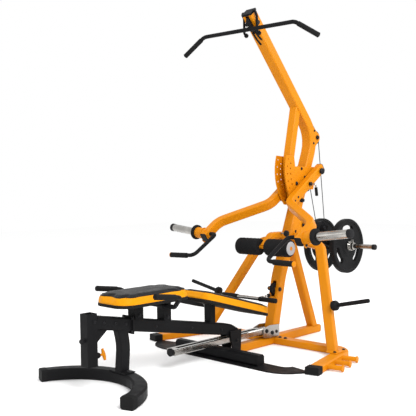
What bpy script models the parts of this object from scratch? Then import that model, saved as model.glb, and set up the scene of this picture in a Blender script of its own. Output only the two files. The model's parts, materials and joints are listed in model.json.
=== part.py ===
"""Lat pulldown machine: a plate-loaded gym station with a bench, swinging press arms and a cable."""

import math

import bmesh
import bpy
from mathutils import Matrix, Vector

# ---------------------------------------------------------------- driving dimensions, in metres
# +X is the way a seated user faces, +Y the user's left, +Z up. The machine's middle plane is y = 0.
# The side profile is drawn with x = 0 at the foot of the mast, then moved so that the box is centred.
ORIGIN_X = 0.2524

GAP = 0.0004            # clearance kept between touching pieces
SIDES = (("left", 1.0), ("right", -1.0))

MAST_WIDE, MAST_DEEP, MAST_WALL = 0.075, 0.065, 0.003
MAST_PATH = ((0.012, 0.0), (0.115, 0.42), (0.496, 1.343), (-0.134, 2.068))
MAST_BENDS = (0.50, 0.20)
SPINE_TOP = 0.050
FOOT_TUBE_HIGH = 0.040

ARM_PIVOT = (0.448, 1.100)          # x, z of the axis both press arms swing on
ARM_END = (-0.174, 0.677)
ARM_INNER_Y, ARM_OUTER_Y = 0.078, 0.385
ARM_WIDE, ARM_DEEP = 0.050, 0.060
ARM_HORN = (-0.147, 0.696)          # x, z where the weight horn leaves the arm
HORN_RADIUS = 0.025
HORN_TILT = math.radians(6.5)

LEVER_PIVOT = (0.335, 0.745)
LEVER_HORN = (0.745, 0.580)
PLATE_RADIUS, PLATE_THICK = 0.190, 0.040

CABLE_RADIUS = 0.0026
PULLEY_WIDE = 0.022
PIN_RADIUS, BORE_RADIUS = 0.0080, 0.0088
# name: (x, z, groove radius, way the cable goes round it)
PULLEYS = {
    "top_pulley": (-0.104, 2.012, 0.046, -1),
    "rear_pulley": (0.528, 1.335, 0.040, -1),
    "lever_pulley": (0.590, 0.712, 0.042, -1),
    "column_pulley": (0.422, 1.010, 0.038, 1),
    "low_pulley": (0.070, 0.345, 0.033, -1),
}
GROOVE_LIFT = CABLE_RADIUS + 0.0010

LAT_BAR_Z = 1.966
LAT_BAR_TURN = 0.177            # radians the hanging bar has swung about its cable
EYE_HIGH = 0.0195
ROLLER = (-0.025, 0.620)
ROLLER_RADIUS, ROLLER_INNER_Y, ROLLER_OUTER_Y = 0.054, 0.030, 0.208

BENCH_SLOPE = math.radians(10.8)
BEAM_START = (-1.125, 0.297)
SEAT_SLOPE = math.radians(16.0)
BACK_HINGE = (-0.775, 0.395)
SEAT_HINGE = (-0.700, 0.368)

COLOURS = {
    "yellow_powder_coat": ((0.90, 0.42, 0.02), 0.40, 0.0),
    "black_powder_coat": ((0.025, 0.025, 0.027), 0.50, 0.0),
    "black_vinyl": ((0.020, 0.020, 0.022), 0.55, 0.0),
    "black_rubber": ((0.020, 0.020, 0.020), 0.80, 0.0),
    "chrome": ((0.75, 0.75, 0.76), 0.18, 1.0),
    "cable_black": ((0.03, 0.03, 0.03), 0.35, 0.0),
    "pulley_nylon": ((0.04, 0.04, 0.045), 0.45, 0.0),
}

for old in list(bpy.data.objects):
    bpy.data.objects.remove(old, do_unlink=True)


# ---------------------------------------------------------------- materials and object making
def material(name):
    """The named finish, made once."""
    found = bpy.data.materials.get(name)
    if found:
        return found
    colour, roughness, metallic = COLOURS[name]
    made = bpy.data.materials.new(name)
    made.use_nodes = True
    shader = made.node_tree.nodes["Principled BSDF"]
    shader.inputs["Base Color"].default_value = (*colour, 1.0)
    shader.inputs["Roughness"].default_value = roughness
    shader.inputs["Metallic"].default_value = metallic
    return made


def finish(name, mesh_data, finish_name, smooth=False):
    """Turns a bmesh into an object with its faces pointing out."""
    bmesh.ops.recalc_face_normals(mesh_data, faces=mesh_data.faces)
    mesh = bpy.data.meshes.new(name)
    mesh_data.to_mesh(mesh)
    mesh_data.free()
    if smooth:
        mesh.shade_smooth()
        mesh.set_sharp_from_angle(angle=math.radians(35))
    if finish_name:
        mesh.materials.append(material(finish_name))
    obj = bpy.data.objects.new(name, mesh)
    bpy.context.scene.collection.objects.link(obj)
    return obj


def hide(obj):
    obj.hide_render = True
    obj.display_type = "WIRE"


def boolean(target, tool, operation="DIFFERENCE"):
    """Cuts the tool from the target, or joins it on, and hides the tool."""
    modifier = target.modifiers.new(tool.name, "BOOLEAN")
    modifier.operation = operation
    modifier.solver = "EXACT"
    modifier.object = tool
    hide(tool)


def pivot_at(obj, x, y, z):
    """Moves the object's origin to a point on its joint axis, leaving the shape where it is."""
    place = Vector((x, y, z))
    obj.data.transform(Matrix.Translation(-place))
    obj.location = place
    return obj


# ---------------------------------------------------------------- paths
def xz(points, y=0.0):
    return [Vector((x, y, z)) for x, z in points]


def rounded(points, radii, steps=5):
    """The polyline with each inner corner turned into an arc."""
    points = [Vector(p) for p in points]
    if not isinstance(radii, (list, tuple)):
        radii = [radii] * (len(points) - 2)
    out = [points[0]]
    for before, corner, after, radius in zip(points, points[1:], points[2:], radii):
        back, ahead = (before - corner).normalized(), (after - corner).normalized()
        half = back.angle(ahead) / 2
        reach = radius / math.tan(half)
        centre = corner + (back + ahead).normalized() * radius / math.sin(half)
        first, last = corner + back * reach, corner + ahead * reach
        turn = (first - centre).angle(last - centre)
        axis = (first - centre).cross(last - centre).normalized()
        for step in range(steps + 1):
            out.append(centre + Matrix.Rotation(turn * step / steps, 3, axis) @ (first - centre))
    out.append(points[-1])
    return out


def box_section(wide, deep, corner=0.006):
    """A rectangle with chamfered corners: wide along the reference direction, deep across it."""
    w, d, c = wide / 2, deep / 2, corner
    return [(w, d - c), (w - c, d), (c - w, d), (-w, d - c), (-w, c - d), (c - w, -d), (w - c, -d), (w, c - d)]


def round_section(radius, sides=10):
    return [(radius * math.cos(2 * math.pi * i / sides), radius * math.sin(2 * math.pi * i / sides))
            for i in range(sides)]


def rings_along(mesh_data, path, section, reference):
    """Places the section square to the path at each point, mitred where the path bends."""
    reference = Vector(reference).normalized()
    rings = []
    for index, point in enumerate(path):
        ahead = (path[min(index + 1, len(path) - 1)] - point)
        behind = (point - path[max(index - 1, 0)])
        ahead = ahead.normalized() if ahead.length else behind.normalized()
        behind = behind.normalized() if behind.length else ahead
        tangent = (ahead + behind).normalized()
        across = reference - tangent * reference.dot(tangent)
        across.normalize()
        depth = tangent.cross(across)
        stretch = 1 / max(0.3, math.cos(ahead.angle(behind) / 2))
        rings.append([mesh_data.verts.new(point + across * u + depth * v * stretch) for u, v in section])
    return rings


def bridge(mesh_data, rings, closed=False):
    pairs = list(zip(rings, rings[1:])) + ([(rings[-1], rings[0])] if closed else [])
    for first, second in pairs:
        count = len(first)
        for i in range(count):
            j = (i + 1) % count
            mesh_data.faces.new((first[i], first[j], second[j], second[i]))


def tube(name, path, section, reference, finish_name, smooth=False):
    """A solid bar of the given section along the path."""
    mesh_data = bmesh.new()
    rings = rings_along(mesh_data, [Vector(p) for p in path], section, reference)
    bridge(mesh_data, rings)
    mesh_data.faces.new(rings[0])
    mesh_data.faces.new(rings[-1])
    return finish(name, mesh_data, finish_name, smooth)


def hollow_tube(name, path, outer, inner, reference, finish_name):
    """An open-ended tube with a wall."""
    mesh_data = bmesh.new()
    outside = rings_along(mesh_data, path, outer, reference)
    inside = rings_along(mesh_data, path, inner, reference)
    bridge(mesh_data, outside)
    bridge(mesh_data, inside)
    for out_ring, in_ring in ((outside[0], inside[0]), (outside[-1], inside[-1])):
        bridge(mesh_data, [out_ring, in_ring])
    return finish(name, mesh_data, finish_name)


def rod(name, start, end, radius, finish_name, sides=16):
    start, end = Vector(start), Vector(end)
    reference = (0, 0, 1) if abs((end - start).normalized().z) < 0.9 else (1, 0, 0)
    return tube(name, [start, end], round_section(radius, sides), reference, finish_name, smooth=True)


def block(name, low, high, finish_name=None):
    """An upright box between two corners."""
    mesh_data = bmesh.new()
    bmesh.ops.create_cube(mesh_data, size=1.0)
    middle = [(a + b) / 2 for a, b in zip(low, high)]
    size = [b - a for a, b in zip(low, high)]
    bmesh.ops.scale(mesh_data, vec=size, verts=mesh_data.verts)
    bmesh.ops.translate(mesh_data, vec=middle, verts=mesh_data.verts)
    return finish(name, mesh_data, finish_name)


def turned(name, profile, centre, axis, finish_name, sides=24, ring=False):
    """A turned piece. Profile points are (radius, distance along the axis); a ring has a bore."""
    mesh_data = bmesh.new()
    axis = Vector(axis).normalized()
    helper = Vector((0, 0, 1)) if abs(axis.z) < 0.9 else Vector((1, 0, 0))
    u = axis.cross(helper).normalized()
    v = axis.cross(u)
    rings = []
    for radius, along in profile:
        rings.append([mesh_data.verts.new(Vector(centre) + axis * along
                      + (u * math.cos(2 * math.pi * i / sides) + v * math.sin(2 * math.pi * i / sides)) * radius)
                      for i in range(sides)])
    bridge(mesh_data, rings, closed=ring)
    if not ring:
        mesh_data.faces.new(rings[0])
        mesh_data.faces.new(rings[-1])
    return finish(name, mesh_data, finish_name, smooth=True)


def slab(name, outline, y_low, y_high, finish_name):
    """A flat plate standing in an XZ plane, from its outline."""
    mesh_data = bmesh.new()
    rings = [[mesh_data.verts.new((x, y, z)) for x, z in outline] for y in (y_low, y_high)]
    bridge(mesh_data, rings)
    for ring in rings:
        mesh_data.faces.new(ring)
    return finish(name, mesh_data, finish_name)


def flat_slab(name, outline, z_low, z_high, finish_name):
    """A flat plate lying level, from its outline in plan."""
    mesh_data = bmesh.new()
    rings = [[mesh_data.verts.new((x, y, z)) for x, y in outline] for z in (z_low, z_high)]
    bridge(mesh_data, rings)
    for ring in rings:
        mesh_data.faces.new(ring)
    return finish(name, mesh_data, finish_name)


def arc_points(centre, radius, start_deg, end_deg, steps):
    """Points on a circle in a plane, as pairs."""
    return [(centre[0] + radius * math.cos(math.radians(start_deg + (end_deg - start_deg) * i / steps)),
             centre[1] + radius * math.sin(math.radians(start_deg + (end_deg - start_deg) * i / steps)))
            for i in range(steps + 1)]


def holes(target, name, spots, radius, y_low, y_high, sides=8):
    """Drills a group of round holes across a plate."""
    mesh_data = bmesh.new()
    for x, z in spots:
        rings = [[mesh_data.verts.new((x + radius * math.cos(2 * math.pi * i / sides), y,
                                       z + radius * math.sin(2 * math.pi * i / sides)))
                  for i in range(sides)] for y in (y_low, y_high)]
        bridge(mesh_data, rings)
        for ring in rings:
            mesh_data.faces.new(ring)
    boolean(target, finish(name, mesh_data, None))


# ---------------------------------------------------------------- cable geometry
def left_of(direction):
    return Vector((-direction.y, direction.x))


def line_between(first, second):
    """Where a cable leaves one pulley and meets the next, both given as (centre, signed radius)."""
    (c1, s1), (c2, s2) = first, second
    gap = c2 - c1
    slant = math.asin((s2 - s1) / gap.length)
    direction = (Matrix.Rotation(-slant, 2) @ gap).normalized()
    return c1 - left_of(direction) * s1, c2 - left_of(direction) * s2


def wrap(centre, signed, start, end, steps):
    """Points round a pulley from one touching point to the other, the way the cable goes."""
    a = math.atan2(start.y - centre.y, start.x - centre.x)
    b = math.atan2(end.y - centre.y, end.x - centre.x)
    turn = (b - a) % (2 * math.pi)
    if signed < 0:
        turn -= 2 * math.pi
    radius = abs(signed)
    return [centre + Vector((math.cos(a + turn * i / steps), math.sin(a + turn * i / steps))) * radius
            for i in range(steps + 1)]


def circle_of(name):
    x, z, radius, way = PULLEYS[name]
    return Vector((x, z)), way * (radius + GROOVE_LIFT)


def cable(name, points, finish_name="cable_black"):
    """A cable in the middle plane through (x, z) points."""
    return tube(name, [Vector((p[0], 0, p[1])) for p in points], round_section(CABLE_RADIUS, 5), (0, 1, 0),
                finish_name, smooth=True)


TOP, REAR, LEVER, COLUMN, LOW = [circle_of(name) for name in PULLEYS]
TOP_START = TOP[0] + Vector((TOP[1], 0))
BOOM_RUN = line_between(TOP, REAR)
A_RUN = line_between(REAR, LEVER)
B_RUN = line_between(LEVER, COLUMN)
COLUMN_RUN = line_between(COLUMN, LOW)
LOW_EXIT = LOW[0] + Vector((0, LOW[1]))
ROW_MOUTH = LOW_EXIT + Vector((-0.050, 0.0))      # where the low cable ends in its ball stop


def solid_mast(name, extra):
    """The mast's outer shape, a little larger, for trimming whatever meets it."""
    path = rounded(xz(MAST_PATH), MAST_BENDS)
    return tube(name, path, box_section(MAST_WIDE + 2 * extra, MAST_DEEP + 2 * extra), (0, 1, 0), None)


# ---------------------------------------------------------------- mast
def make_mast():
    path = rounded(xz(MAST_PATH), MAST_BENDS)
    outer = box_section(MAST_WIDE, MAST_DEEP)
    inner = box_section(MAST_WIDE - 2 * MAST_WALL, MAST_DEEP - 2 * MAST_WALL, 0.004)
    mast = hollow_tube("mast", path, outer, inner, (0, 1, 0), "yellow_powder_coat")
    boolean(mast, block("mast_foot_cut", (-0.2, -0.2, -0.2), (0.3, 0.2, SPINE_TOP + GAP)))
    half_slot = 0.0145
    boom = (Vector(MAST_PATH[3]) - Vector(MAST_PATH[2])).normalized()
    across = Vector((-boom.y, boom.x))
    for label, middle, along, depth in (
        ("top", TOP[0], 0.062, 0.070),
        ("column", COLUMN[0] + Vector((-0.040, -0.035)), 0.085, 0.030),
    ):
        up = boom if label == "top" else (Vector(MAST_PATH[2]) - Vector(MAST_PATH[1])).normalized()
        side = across if label == "top" else Vector((up.y, -up.x))
        corners = [middle + up * a * along + side * b * depth for a, b in ((1, 1), (1, -1), (-1, -1), (-1, 1))]
        boolean(mast, slab("slot_" + label, corners, -half_slot, half_slot, None))
    boolean(mast, block("slot_rear", (0.478, -half_slot, REAR[0].y - 0.045), (0.530, half_slot, REAR[0].y + 0.045)))
    boolean(mast, block("slot_low", (0.0, -half_slot, LOW[0].y - 0.048), (LOW[0].x + 0.014, half_slot, LOW[0].y + 0.052)))
    for label, centre in (("top", TOP[0]), ("low", LOW[0])):
        pin = rod("pin_" + label, (centre.x, -MAST_WIDE / 2 - 0.006, centre.y),
                  (centre.x, MAST_WIDE / 2 + 0.006, centre.y), PIN_RADIUS, "yellow_powder_coat")
        boolean(mast, pin, "UNION")
    return mast


def make_boom_cap():
    """End plug of the boom, with two hooked fingers just behind the hanging lat bar."""
    boom = (Vector(MAST_PATH[3]) - Vector(MAST_PATH[2])).normalized()
    end = Vector(MAST_PATH[3]) + boom * GAP
    tip = end + boom * 0.012
    plug = tube("boom_cap", xz((end, tip)), box_section(MAST_WIDE, MAST_DEEP, 0.008), (0, 1, 0), "black_powder_coat")
    middle = (end + tip) / 2
    bar_x, bar_radius, wire = TOP_START.x, 0.014, 0.0055
    behind = bar_x + bar_radius + wire + 0.0105
    for label, side in SIDES:
        y = side * 0.052
        hook_path = rounded([(middle.x, side * 0.030, middle.y), (middle.x, y, middle.y), (behind, y, middle.y - 0.03),
                             (behind, y, LAT_BAR_Z - 0.010), (behind + 0.020, y, LAT_BAR_Z - 0.022)], 0.005, 2)
        boolean(plug, tube("hook_" + label, hook_path, round_section(wire, 6), (0.3, 0.9, 0.3), None), "UNION")
    return plug


# ---------------------------------------------------------------- frame struts, posts and base
def make_front_strut():
    path = rounded(xz(((0.318, 1.530), (0.222, 1.120), (0.292, 0.872))), 0.30)
    strut = tube("front_strut", path, box_section(0.060, 0.050), (0, 1, 0), "yellow_powder_coat")
    boolean(strut, solid_mast("mast_by_front_strut", GAP))


def make_rear_strut():
    strut = tube("rear_strut", xz(((0.488, 0.0), (0.235, 0.660))), box_section(0.060, 0.050), (0, 1, 0),
                 "yellow_powder_coat")
    boolean(strut, solid_mast("mast_by_rear_strut", GAP))
    boolean(strut, block("floor_by_rear_strut", (0.2, -0.1, -0.2), (0.7, 0.1, SPINE_TOP + GAP)))


def make_base_spine():
    return tube("base_spine", xz(((-0.300, SPINE_TOP / 2), (0.530, SPINE_TOP / 2))), box_section(0.060, SPINE_TOP),
                (0, 1, 0), "yellow_powder_coat")


BASE_LEG = ((0.055, 0.0100), (0.075, 0.530), (-0.415, 0.640))


def leg_tube(name, side, extra, finish_name):
    """One bent base leg, or its slightly larger shape for trimming what meets it."""
    path = rounded([(x, side * y, FOOT_TUBE_HIGH / 2) for x, y in BASE_LEG], 0.10)
    return tube(name, path, box_section(FOOT_TUBE_HIGH + 2 * extra, 0.075 + 2 * extra), (0, 0, 1), finish_name)


def make_base_legs():
    """Half of the base: out from the spine, round the corner, then forward, with three band pegs."""
    for label, side in SIDES:
        leg = leg_tube(label + "_base_leg", side, 0.0, "yellow_powder_coat")
        boolean(leg, block("spine_by_leg_" + label, (-0.4, -0.03 - GAP, -0.1), (0.6, 0.03 + GAP, 0.2)))
        leg_path = Vector(BASE_LEG[2]) - Vector(BASE_LEG[1])
        forward = leg_path.normalized()
        outward = Vector((forward.y, -forward.x))
        for index, share in enumerate((0.30, 0.52, 0.74)):
            root = Vector(BASE_LEG[1]) + leg_path * share
            tip = root + outward * 0.125
            rim = root + outward * 0.117
            mid = root + outward * 0.121
            z = FOOT_TUBE_HIGH / 2
            peg = rod(f"{label}_peg_{index}", (root.x, side * root.y, z), (mid.x, side * mid.y, z), 0.0145, None, 10)
            boolean(leg, peg, "UNION")
            flange = rod(f"{label}_rim_{index}", (rim.x, side * rim.y, z), (tip.x, side * tip.y, z), 0.019, None, 10)
            boolean(leg, flange, "UNION")


def make_posts():
    """Raking side posts that tie the column to the ends of the base."""
    for label, side in SIDES:
        points = [(-0.052, side * 0.530, 0.0), (0.232, side * 0.246, 0.622), (0.236, side * 0.020, 0.668)]
        path = rounded(points, 0.06, 4)
        normal = (Vector(points[1]) - Vector(points[0])).cross(Vector(points[2]) - Vector(points[1]))
        post = tube(label + "_post", path, box_section(0.045, 0.060), normal, "yellow_powder_coat")
        inside = MAST_WIDE / 2 + GAP
        boolean(post, block("mast_by_post_" + label, (-0.1, -inside, 0.4), (0.6, inside, 0.9)))
        boolean(post, block("leg_by_post_" + label, (-0.4, side * 0.5 - 0.3, -0.2), (0.3, side * 0.5 + 0.3,
                            FOOT_TUBE_HIGH + GAP)))


def make_foot_plate():
    """Bowed floor plate across the front of the base, with a square foot brace welded on."""
    bow_x, bow_y = -0.350, 0.420
    left_end = arc_points((bow_x, bow_y), 0.180, 180.0, 100.0, 5) + arc_points((bow_x, bow_y), 0.050, 100.0, 180.0, 3)
    outline = left_end + [(x, -y) for x, y in reversed(left_end)]
    plate = flat_slab("foot_plate", outline, 0.0, 0.006, "black_powder_coat")
    brace = tube("brace", [(-0.465, -0.330, 0.036), (-0.465, 0.330, 0.036)], box_section(0.062, 0.062, 0.012),
                 (0, 0, 1), None)
    boolean(plate, brace, "UNION")
    for label, side in SIDES:
        boolean(plate, leg_tube("leg_by_plate_" + label, side, GAP, None))
    return plate


def make_dock_rail():
    """Silver docking rail: two parallel bars from a bracket at the foot of the mast."""
    z = 0.098
    bars = tube("dock_rail", [(-0.833, 0.0, z), (-0.030, 0.0, z)], box_section(0.070, 0.034, 0.004), (0, 1, 0), "chrome")
    boolean(bars, block("rail_slot", (-0.790, -0.013, 0.02), (-0.120, 0.013, 0.2)))
    ear_inner = MAST_WIDE / 2 + GAP
    ear_outer = ear_inner + 0.005
    boolean(bars, block("rail_head", (-0.095, -ear_outer, 0.084), (-0.045, ear_outer, 0.112)), "UNION")
    for label, side in SIDES:
        low, high = sorted((side * ear_inner, side * ear_outer))
        outline = [(-0.095, 0.062), (-0.040, SPINE_TOP + GAP), (0.060, SPINE_TOP + GAP), (0.060, 0.125), (-0.040, 0.130),
                   (-0.095, 0.115)]
        boolean(bars, slab("ear_" + label, outline, low, high, None), "UNION")
    boolean(bars, solid_mast("mast_by_rail", GAP))
    return bars


# ---------------------------------------------------------------- side plates, shafts and brackets
SELECTOR_RADIUS = 0.281
REST_ANGLE = 222.8              # degrees round the arm pivot of the pin that the arms rest on


def pull_pin_spot():
    """Where each arm's pull pin crosses the arm, 150 mm from its pivot."""
    run = (Vector(ARM_END) - Vector(ARM_PIVOT)).normalized()
    spot = Vector(ARM_PIVOT) + run * 0.150
    return spot.x, spot.y


def make_side_plates():
    """Plates either side of the mast: a crescent of selector holes in front, the arm pivot behind."""
    outline = arc_points(ARM_PIVOT, 0.305, 160.0, 225.5, 9)
    outline += [(0.262, 0.880), (0.335, 0.975), (0.445, 0.980)]
    outline += arc_points(ARM_PIVOT, 0.032, -40.0, 75.0, 5)
    outline += [(0.250, 1.132), (0.240, 1.200)]
    spots = arc_points(ARM_PIVOT, SELECTOR_RADIUS, 164.0, REST_ANGLE, 6) + arc_points(ARM_PIVOT, 0.248, 168.0, 200.0, 4)
    spots.append(pull_pin_spot())
    for label, side in SIDES:
        inner, outer = side * (MAST_WIDE / 2 + GAP), side * (MAST_WIDE / 2 + GAP + 0.006)
        low, high = sorted((inner, outer))
        plate = slab(label + "_side_plate", outline, low, high, "yellow_powder_coat")
        holes(plate, "selector_holes_" + label, spots, 0.0062, low - 0.01, high + 0.01)
        holes(plate, "shaft_hole_" + label, [ARM_PIVOT], 0.0134, low - 0.01, high + 0.01, 20)
        if side < 0:
            pin = rod("column_pin", (COLUMN[0].x, low + 0.002, COLUMN[0].y),
                      (COLUMN[0].x, MAST_WIDE / 2, COLUMN[0].y), PIN_RADIUS, None)
            boolean(plate, pin, "UNION")


def make_arm_shaft():
    x, z = ARM_PIVOT
    return rod("arm_shaft", (x, -0.112, z), (x, 0.112, z), 0.0125, "chrome", 20)


def make_selector_pin():
    """Cross pin through both crescents that the arms rest on."""
    x, z = arc_points(ARM_PIVOT, SELECTOR_RADIUS, REST_ANGLE, REST_ANGLE, 1)[0]
    return rod("selector_pin", (x, -0.092, z), (x, 0.092, z), 0.0056, "chrome", 12)


def pulley_bracket(name, outline, pin_at, inner_y, thick, web):
    """Two ears joined by a pin and a web."""
    ears = []
    for side in (1.0, -1.0):
        low, high = sorted((side * inner_y, side * (inner_y + thick)))
        ears.append(slab(name if side > 0 else name + "_ear", outline, low, high, "yellow_powder_coat"))
    boolean(ears[0], ears[1], "UNION")
    reach = inner_y + thick + 0.005
    boolean(ears[0], rod(name + "_pin", (pin_at[0], -reach, pin_at[1]), (pin_at[0], reach, pin_at[1]), PIN_RADIUS, None),
            "UNION")
    if web:
        boolean(ears[0], block(name + "_web", (web[0], -inner_y - 0.001, web[1]), (web[2], inner_y + 0.001, web[3])),
                "UNION")
    return ears[0]


def make_brackets():
    rear = pulley_bracket("rear_pulley_bracket",
                          [(0.455, 1.405), (0.440, 1.250), (0.500, 1.262)]
                          + arc_points(REAR[0], 0.034, -70.0, 80.0, 6) + [(0.500, 1.400)],
                          REAR[0], 0.0145, 0.006, (0.466, 1.270, 0.474, 1.300))
    boolean(rear, solid_mast("mast_by_rear_bracket", GAP))
    lever = pulley_bracket("lever_bracket",
                           [(0.278, 0.810), (0.226, 0.690), (0.290, 0.672)]
                           + arc_points(LEVER_PIVOT, 0.030, -60.0, 70.0, 6) + [(0.300, 0.800)],
                           LEVER_PIVOT, 0.0310, 0.006, None)
    boolean(lever, solid_mast("mast_by_lever_bracket", GAP))


def make_storage_pegs():
    for label, side in SIDES:
        start = Vector((0.047, side * 0.462, 0.286))
        end = Vector((0.030, side * 0.717, 0.345))
        axis = end - start
        length = axis.length
        turned(label + "_storage_peg", [(0.024, 0.0), (0.030, 0.004), (0.030, 0.026), (0.020, 0.034), (0.0125, 0.040),
                                        (0.0125, length - 0.003), (0.010, length)], start, axis, "black_powder_coat", 16)


# ---------------------------------------------------------------- pulleys and cable
def make_pulleys():
    for name, (x, z, groove, _way) in PULLEYS.items():
        rim, half = groove + 0.006, PULLEY_WIDE / 2
        profile = [(BORE_RADIUS, -half), (rim, -half), (rim, -half + 0.003), (groove, -0.0022), (groove, 0.0022),
                   (rim, half - 0.003), (rim, half), (BORE_RADIUS, half)]
        pulley = turned(name, profile, (x, 0, z), (0, 1, 0), "pulley_nylon", 16, ring=True)
        pivot_at(pulley, x, 0, z)


def make_cables():
    low_end = LAT_BAR_Z + EYE_HIGH + GAP
    cable("cable_bar", [(TOP_START.x, low_end), (TOP_START.x, TOP_START.y - GAP)])
    cable("cable_boom", wrap(*TOP, TOP_START, BOOM_RUN[0], 9) + wrap(*REAR, BOOM_RUN[1], A_RUN[0], 6))
    down = (A_RUN[1] - A_RUN[0]).normalized()
    cable("cable_a", [A_RUN[0] + down * GAP, A_RUN[1] - down * GAP])
    cable("cable_loop", wrap(*LEVER, A_RUN[1], B_RUN[0], 12))
    up = (B_RUN[1] - B_RUN[0]).normalized()
    cable("cable_b", [B_RUN[0] + up * GAP, B_RUN[1] - up * GAP])
    cable("cable_column", wrap(*COLUMN, B_RUN[1], COLUMN_RUN[0], 8) + wrap(*LOW, COLUMN_RUN[1], LOW_EXIT, 6) + [ROW_MOUTH])


# ---------------------------------------------------------------- weight lever
def make_weight_lever():
    pivot, horn = Vector(LEVER_PIVOT), Vector(LEVER_HORN)
    path = rounded(xz((pivot, (0.405, 0.668), horn)), 0.05, 4)
    lever = tube("weight_lever", path, box_section(0.050, 0.050), (0, 1, 0), "black_powder_coat")
    hub = rod("lever_hub", (pivot.x, -0.0305, pivot.y), (pivot.x, 0.0305, pivot.y), 0.024, None)
    boolean(lever, hub, "UNION")
    for label, side in SIDES:
        low, high = sorted((side * 0.0125, side * 0.0185))
        cheek = slab("cheek_" + label, [(0.555, 0.620), (0.640, 0.595)] + arc_points(LEVER[0], 0.022, -15.0, 195.0, 6),
                     low, high, None)
        boolean(lever, cheek, "UNION")
    boolean(lever, rod("lever_pulley_pin", (LEVER[0].x, -0.024, LEVER[0].y), (LEVER[0].x, 0.024, LEVER[0].y),
                       PIN_RADIUS, None), "UNION")
    holes(lever, "lever_bore", [LEVER_PIVOT], BORE_RADIUS, -0.1, 0.1, 16)
    holes(lever, "lever_horn_bore", [LEVER_HORN], HORN_RADIUS + GAP, -0.1, 0.1, 20)
    pivot_at(lever, pivot.x, 0, pivot.y)
    x, z = LEVER_HORN
    half_line = [(HORN_RADIUS, 0.074), (0.038, 0.076), (0.038, 0.0855), (HORN_RADIUS, 0.086), (HORN_RADIUS, 0.168),
                 (0.017, 0.174), (0.017, 0.333), (0.014, 0.336)]
    profile = [(radius, -along) for radius, along in reversed(half_line)] + half_line
    horns = turned("lever_horns", profile, (x, 0, z), (0, 1, 0), "chrome", 20)
    pivot_at(horns, pivot.x, 0, pivot.y)


def make_weight_plates():
    """One weight plate on each horn, with three grip slots, and its spring collar."""
    x, z = LEVER_HORN
    hub, half = 0.058, PLATE_THICK / 2
    bore = HORN_RADIUS + 0.0004
    for label, side in SIDES:
        y = side * (0.0865 + half)
        profile = [(bore, -half), (hub, -half), (hub + 0.006, -half + 0.008), (PLATE_RADIUS - 0.026, -half + 0.008),
                   (PLATE_RADIUS - 0.020, -half), (PLATE_RADIUS - 0.004, -half), (PLATE_RADIUS, -half + 0.004),
                   (PLATE_RADIUS, half - 0.004), (PLATE_RADIUS - 0.004, half), (PLATE_RADIUS - 0.020, half),
                   (PLATE_RADIUS - 0.026, half - 0.008), (hub + 0.006, half - 0.008), (hub, half), (bore, half)]
        plate = turned(label + "_weight_plate", profile, (x, y, z), (0, 1, 0), "black_rubber", 28, ring=True)
        for index in range(3):
            middle = 90.0 + 120.0 * index
            slot = (arc_points((x, z), 0.148, middle - 24.0, middle + 24.0, 4)
                    + arc_points((x, z), 0.104, middle + 24.0, middle - 24.0, 4))
            boolean(plate, slab(f"grip_{label}_{index}", slot, y - 0.05, y + 0.05, None))
        pivot_at(plate, LEVER_PIVOT[0], 0, LEVER_PIVOT[1])
        start = side * (0.0865 + PLATE_THICK + GAP)
        collar = turned(label + "_collar", [(bore, 0.0), (0.036, 0.0), (0.036, 0.030), (bore, 0.030)],
                        (x, start, z), (0, side, 0), "chrome", 20, ring=True)
        pivot_at(collar, LEVER_PIVOT[0], 0, LEVER_PIVOT[1])


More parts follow.
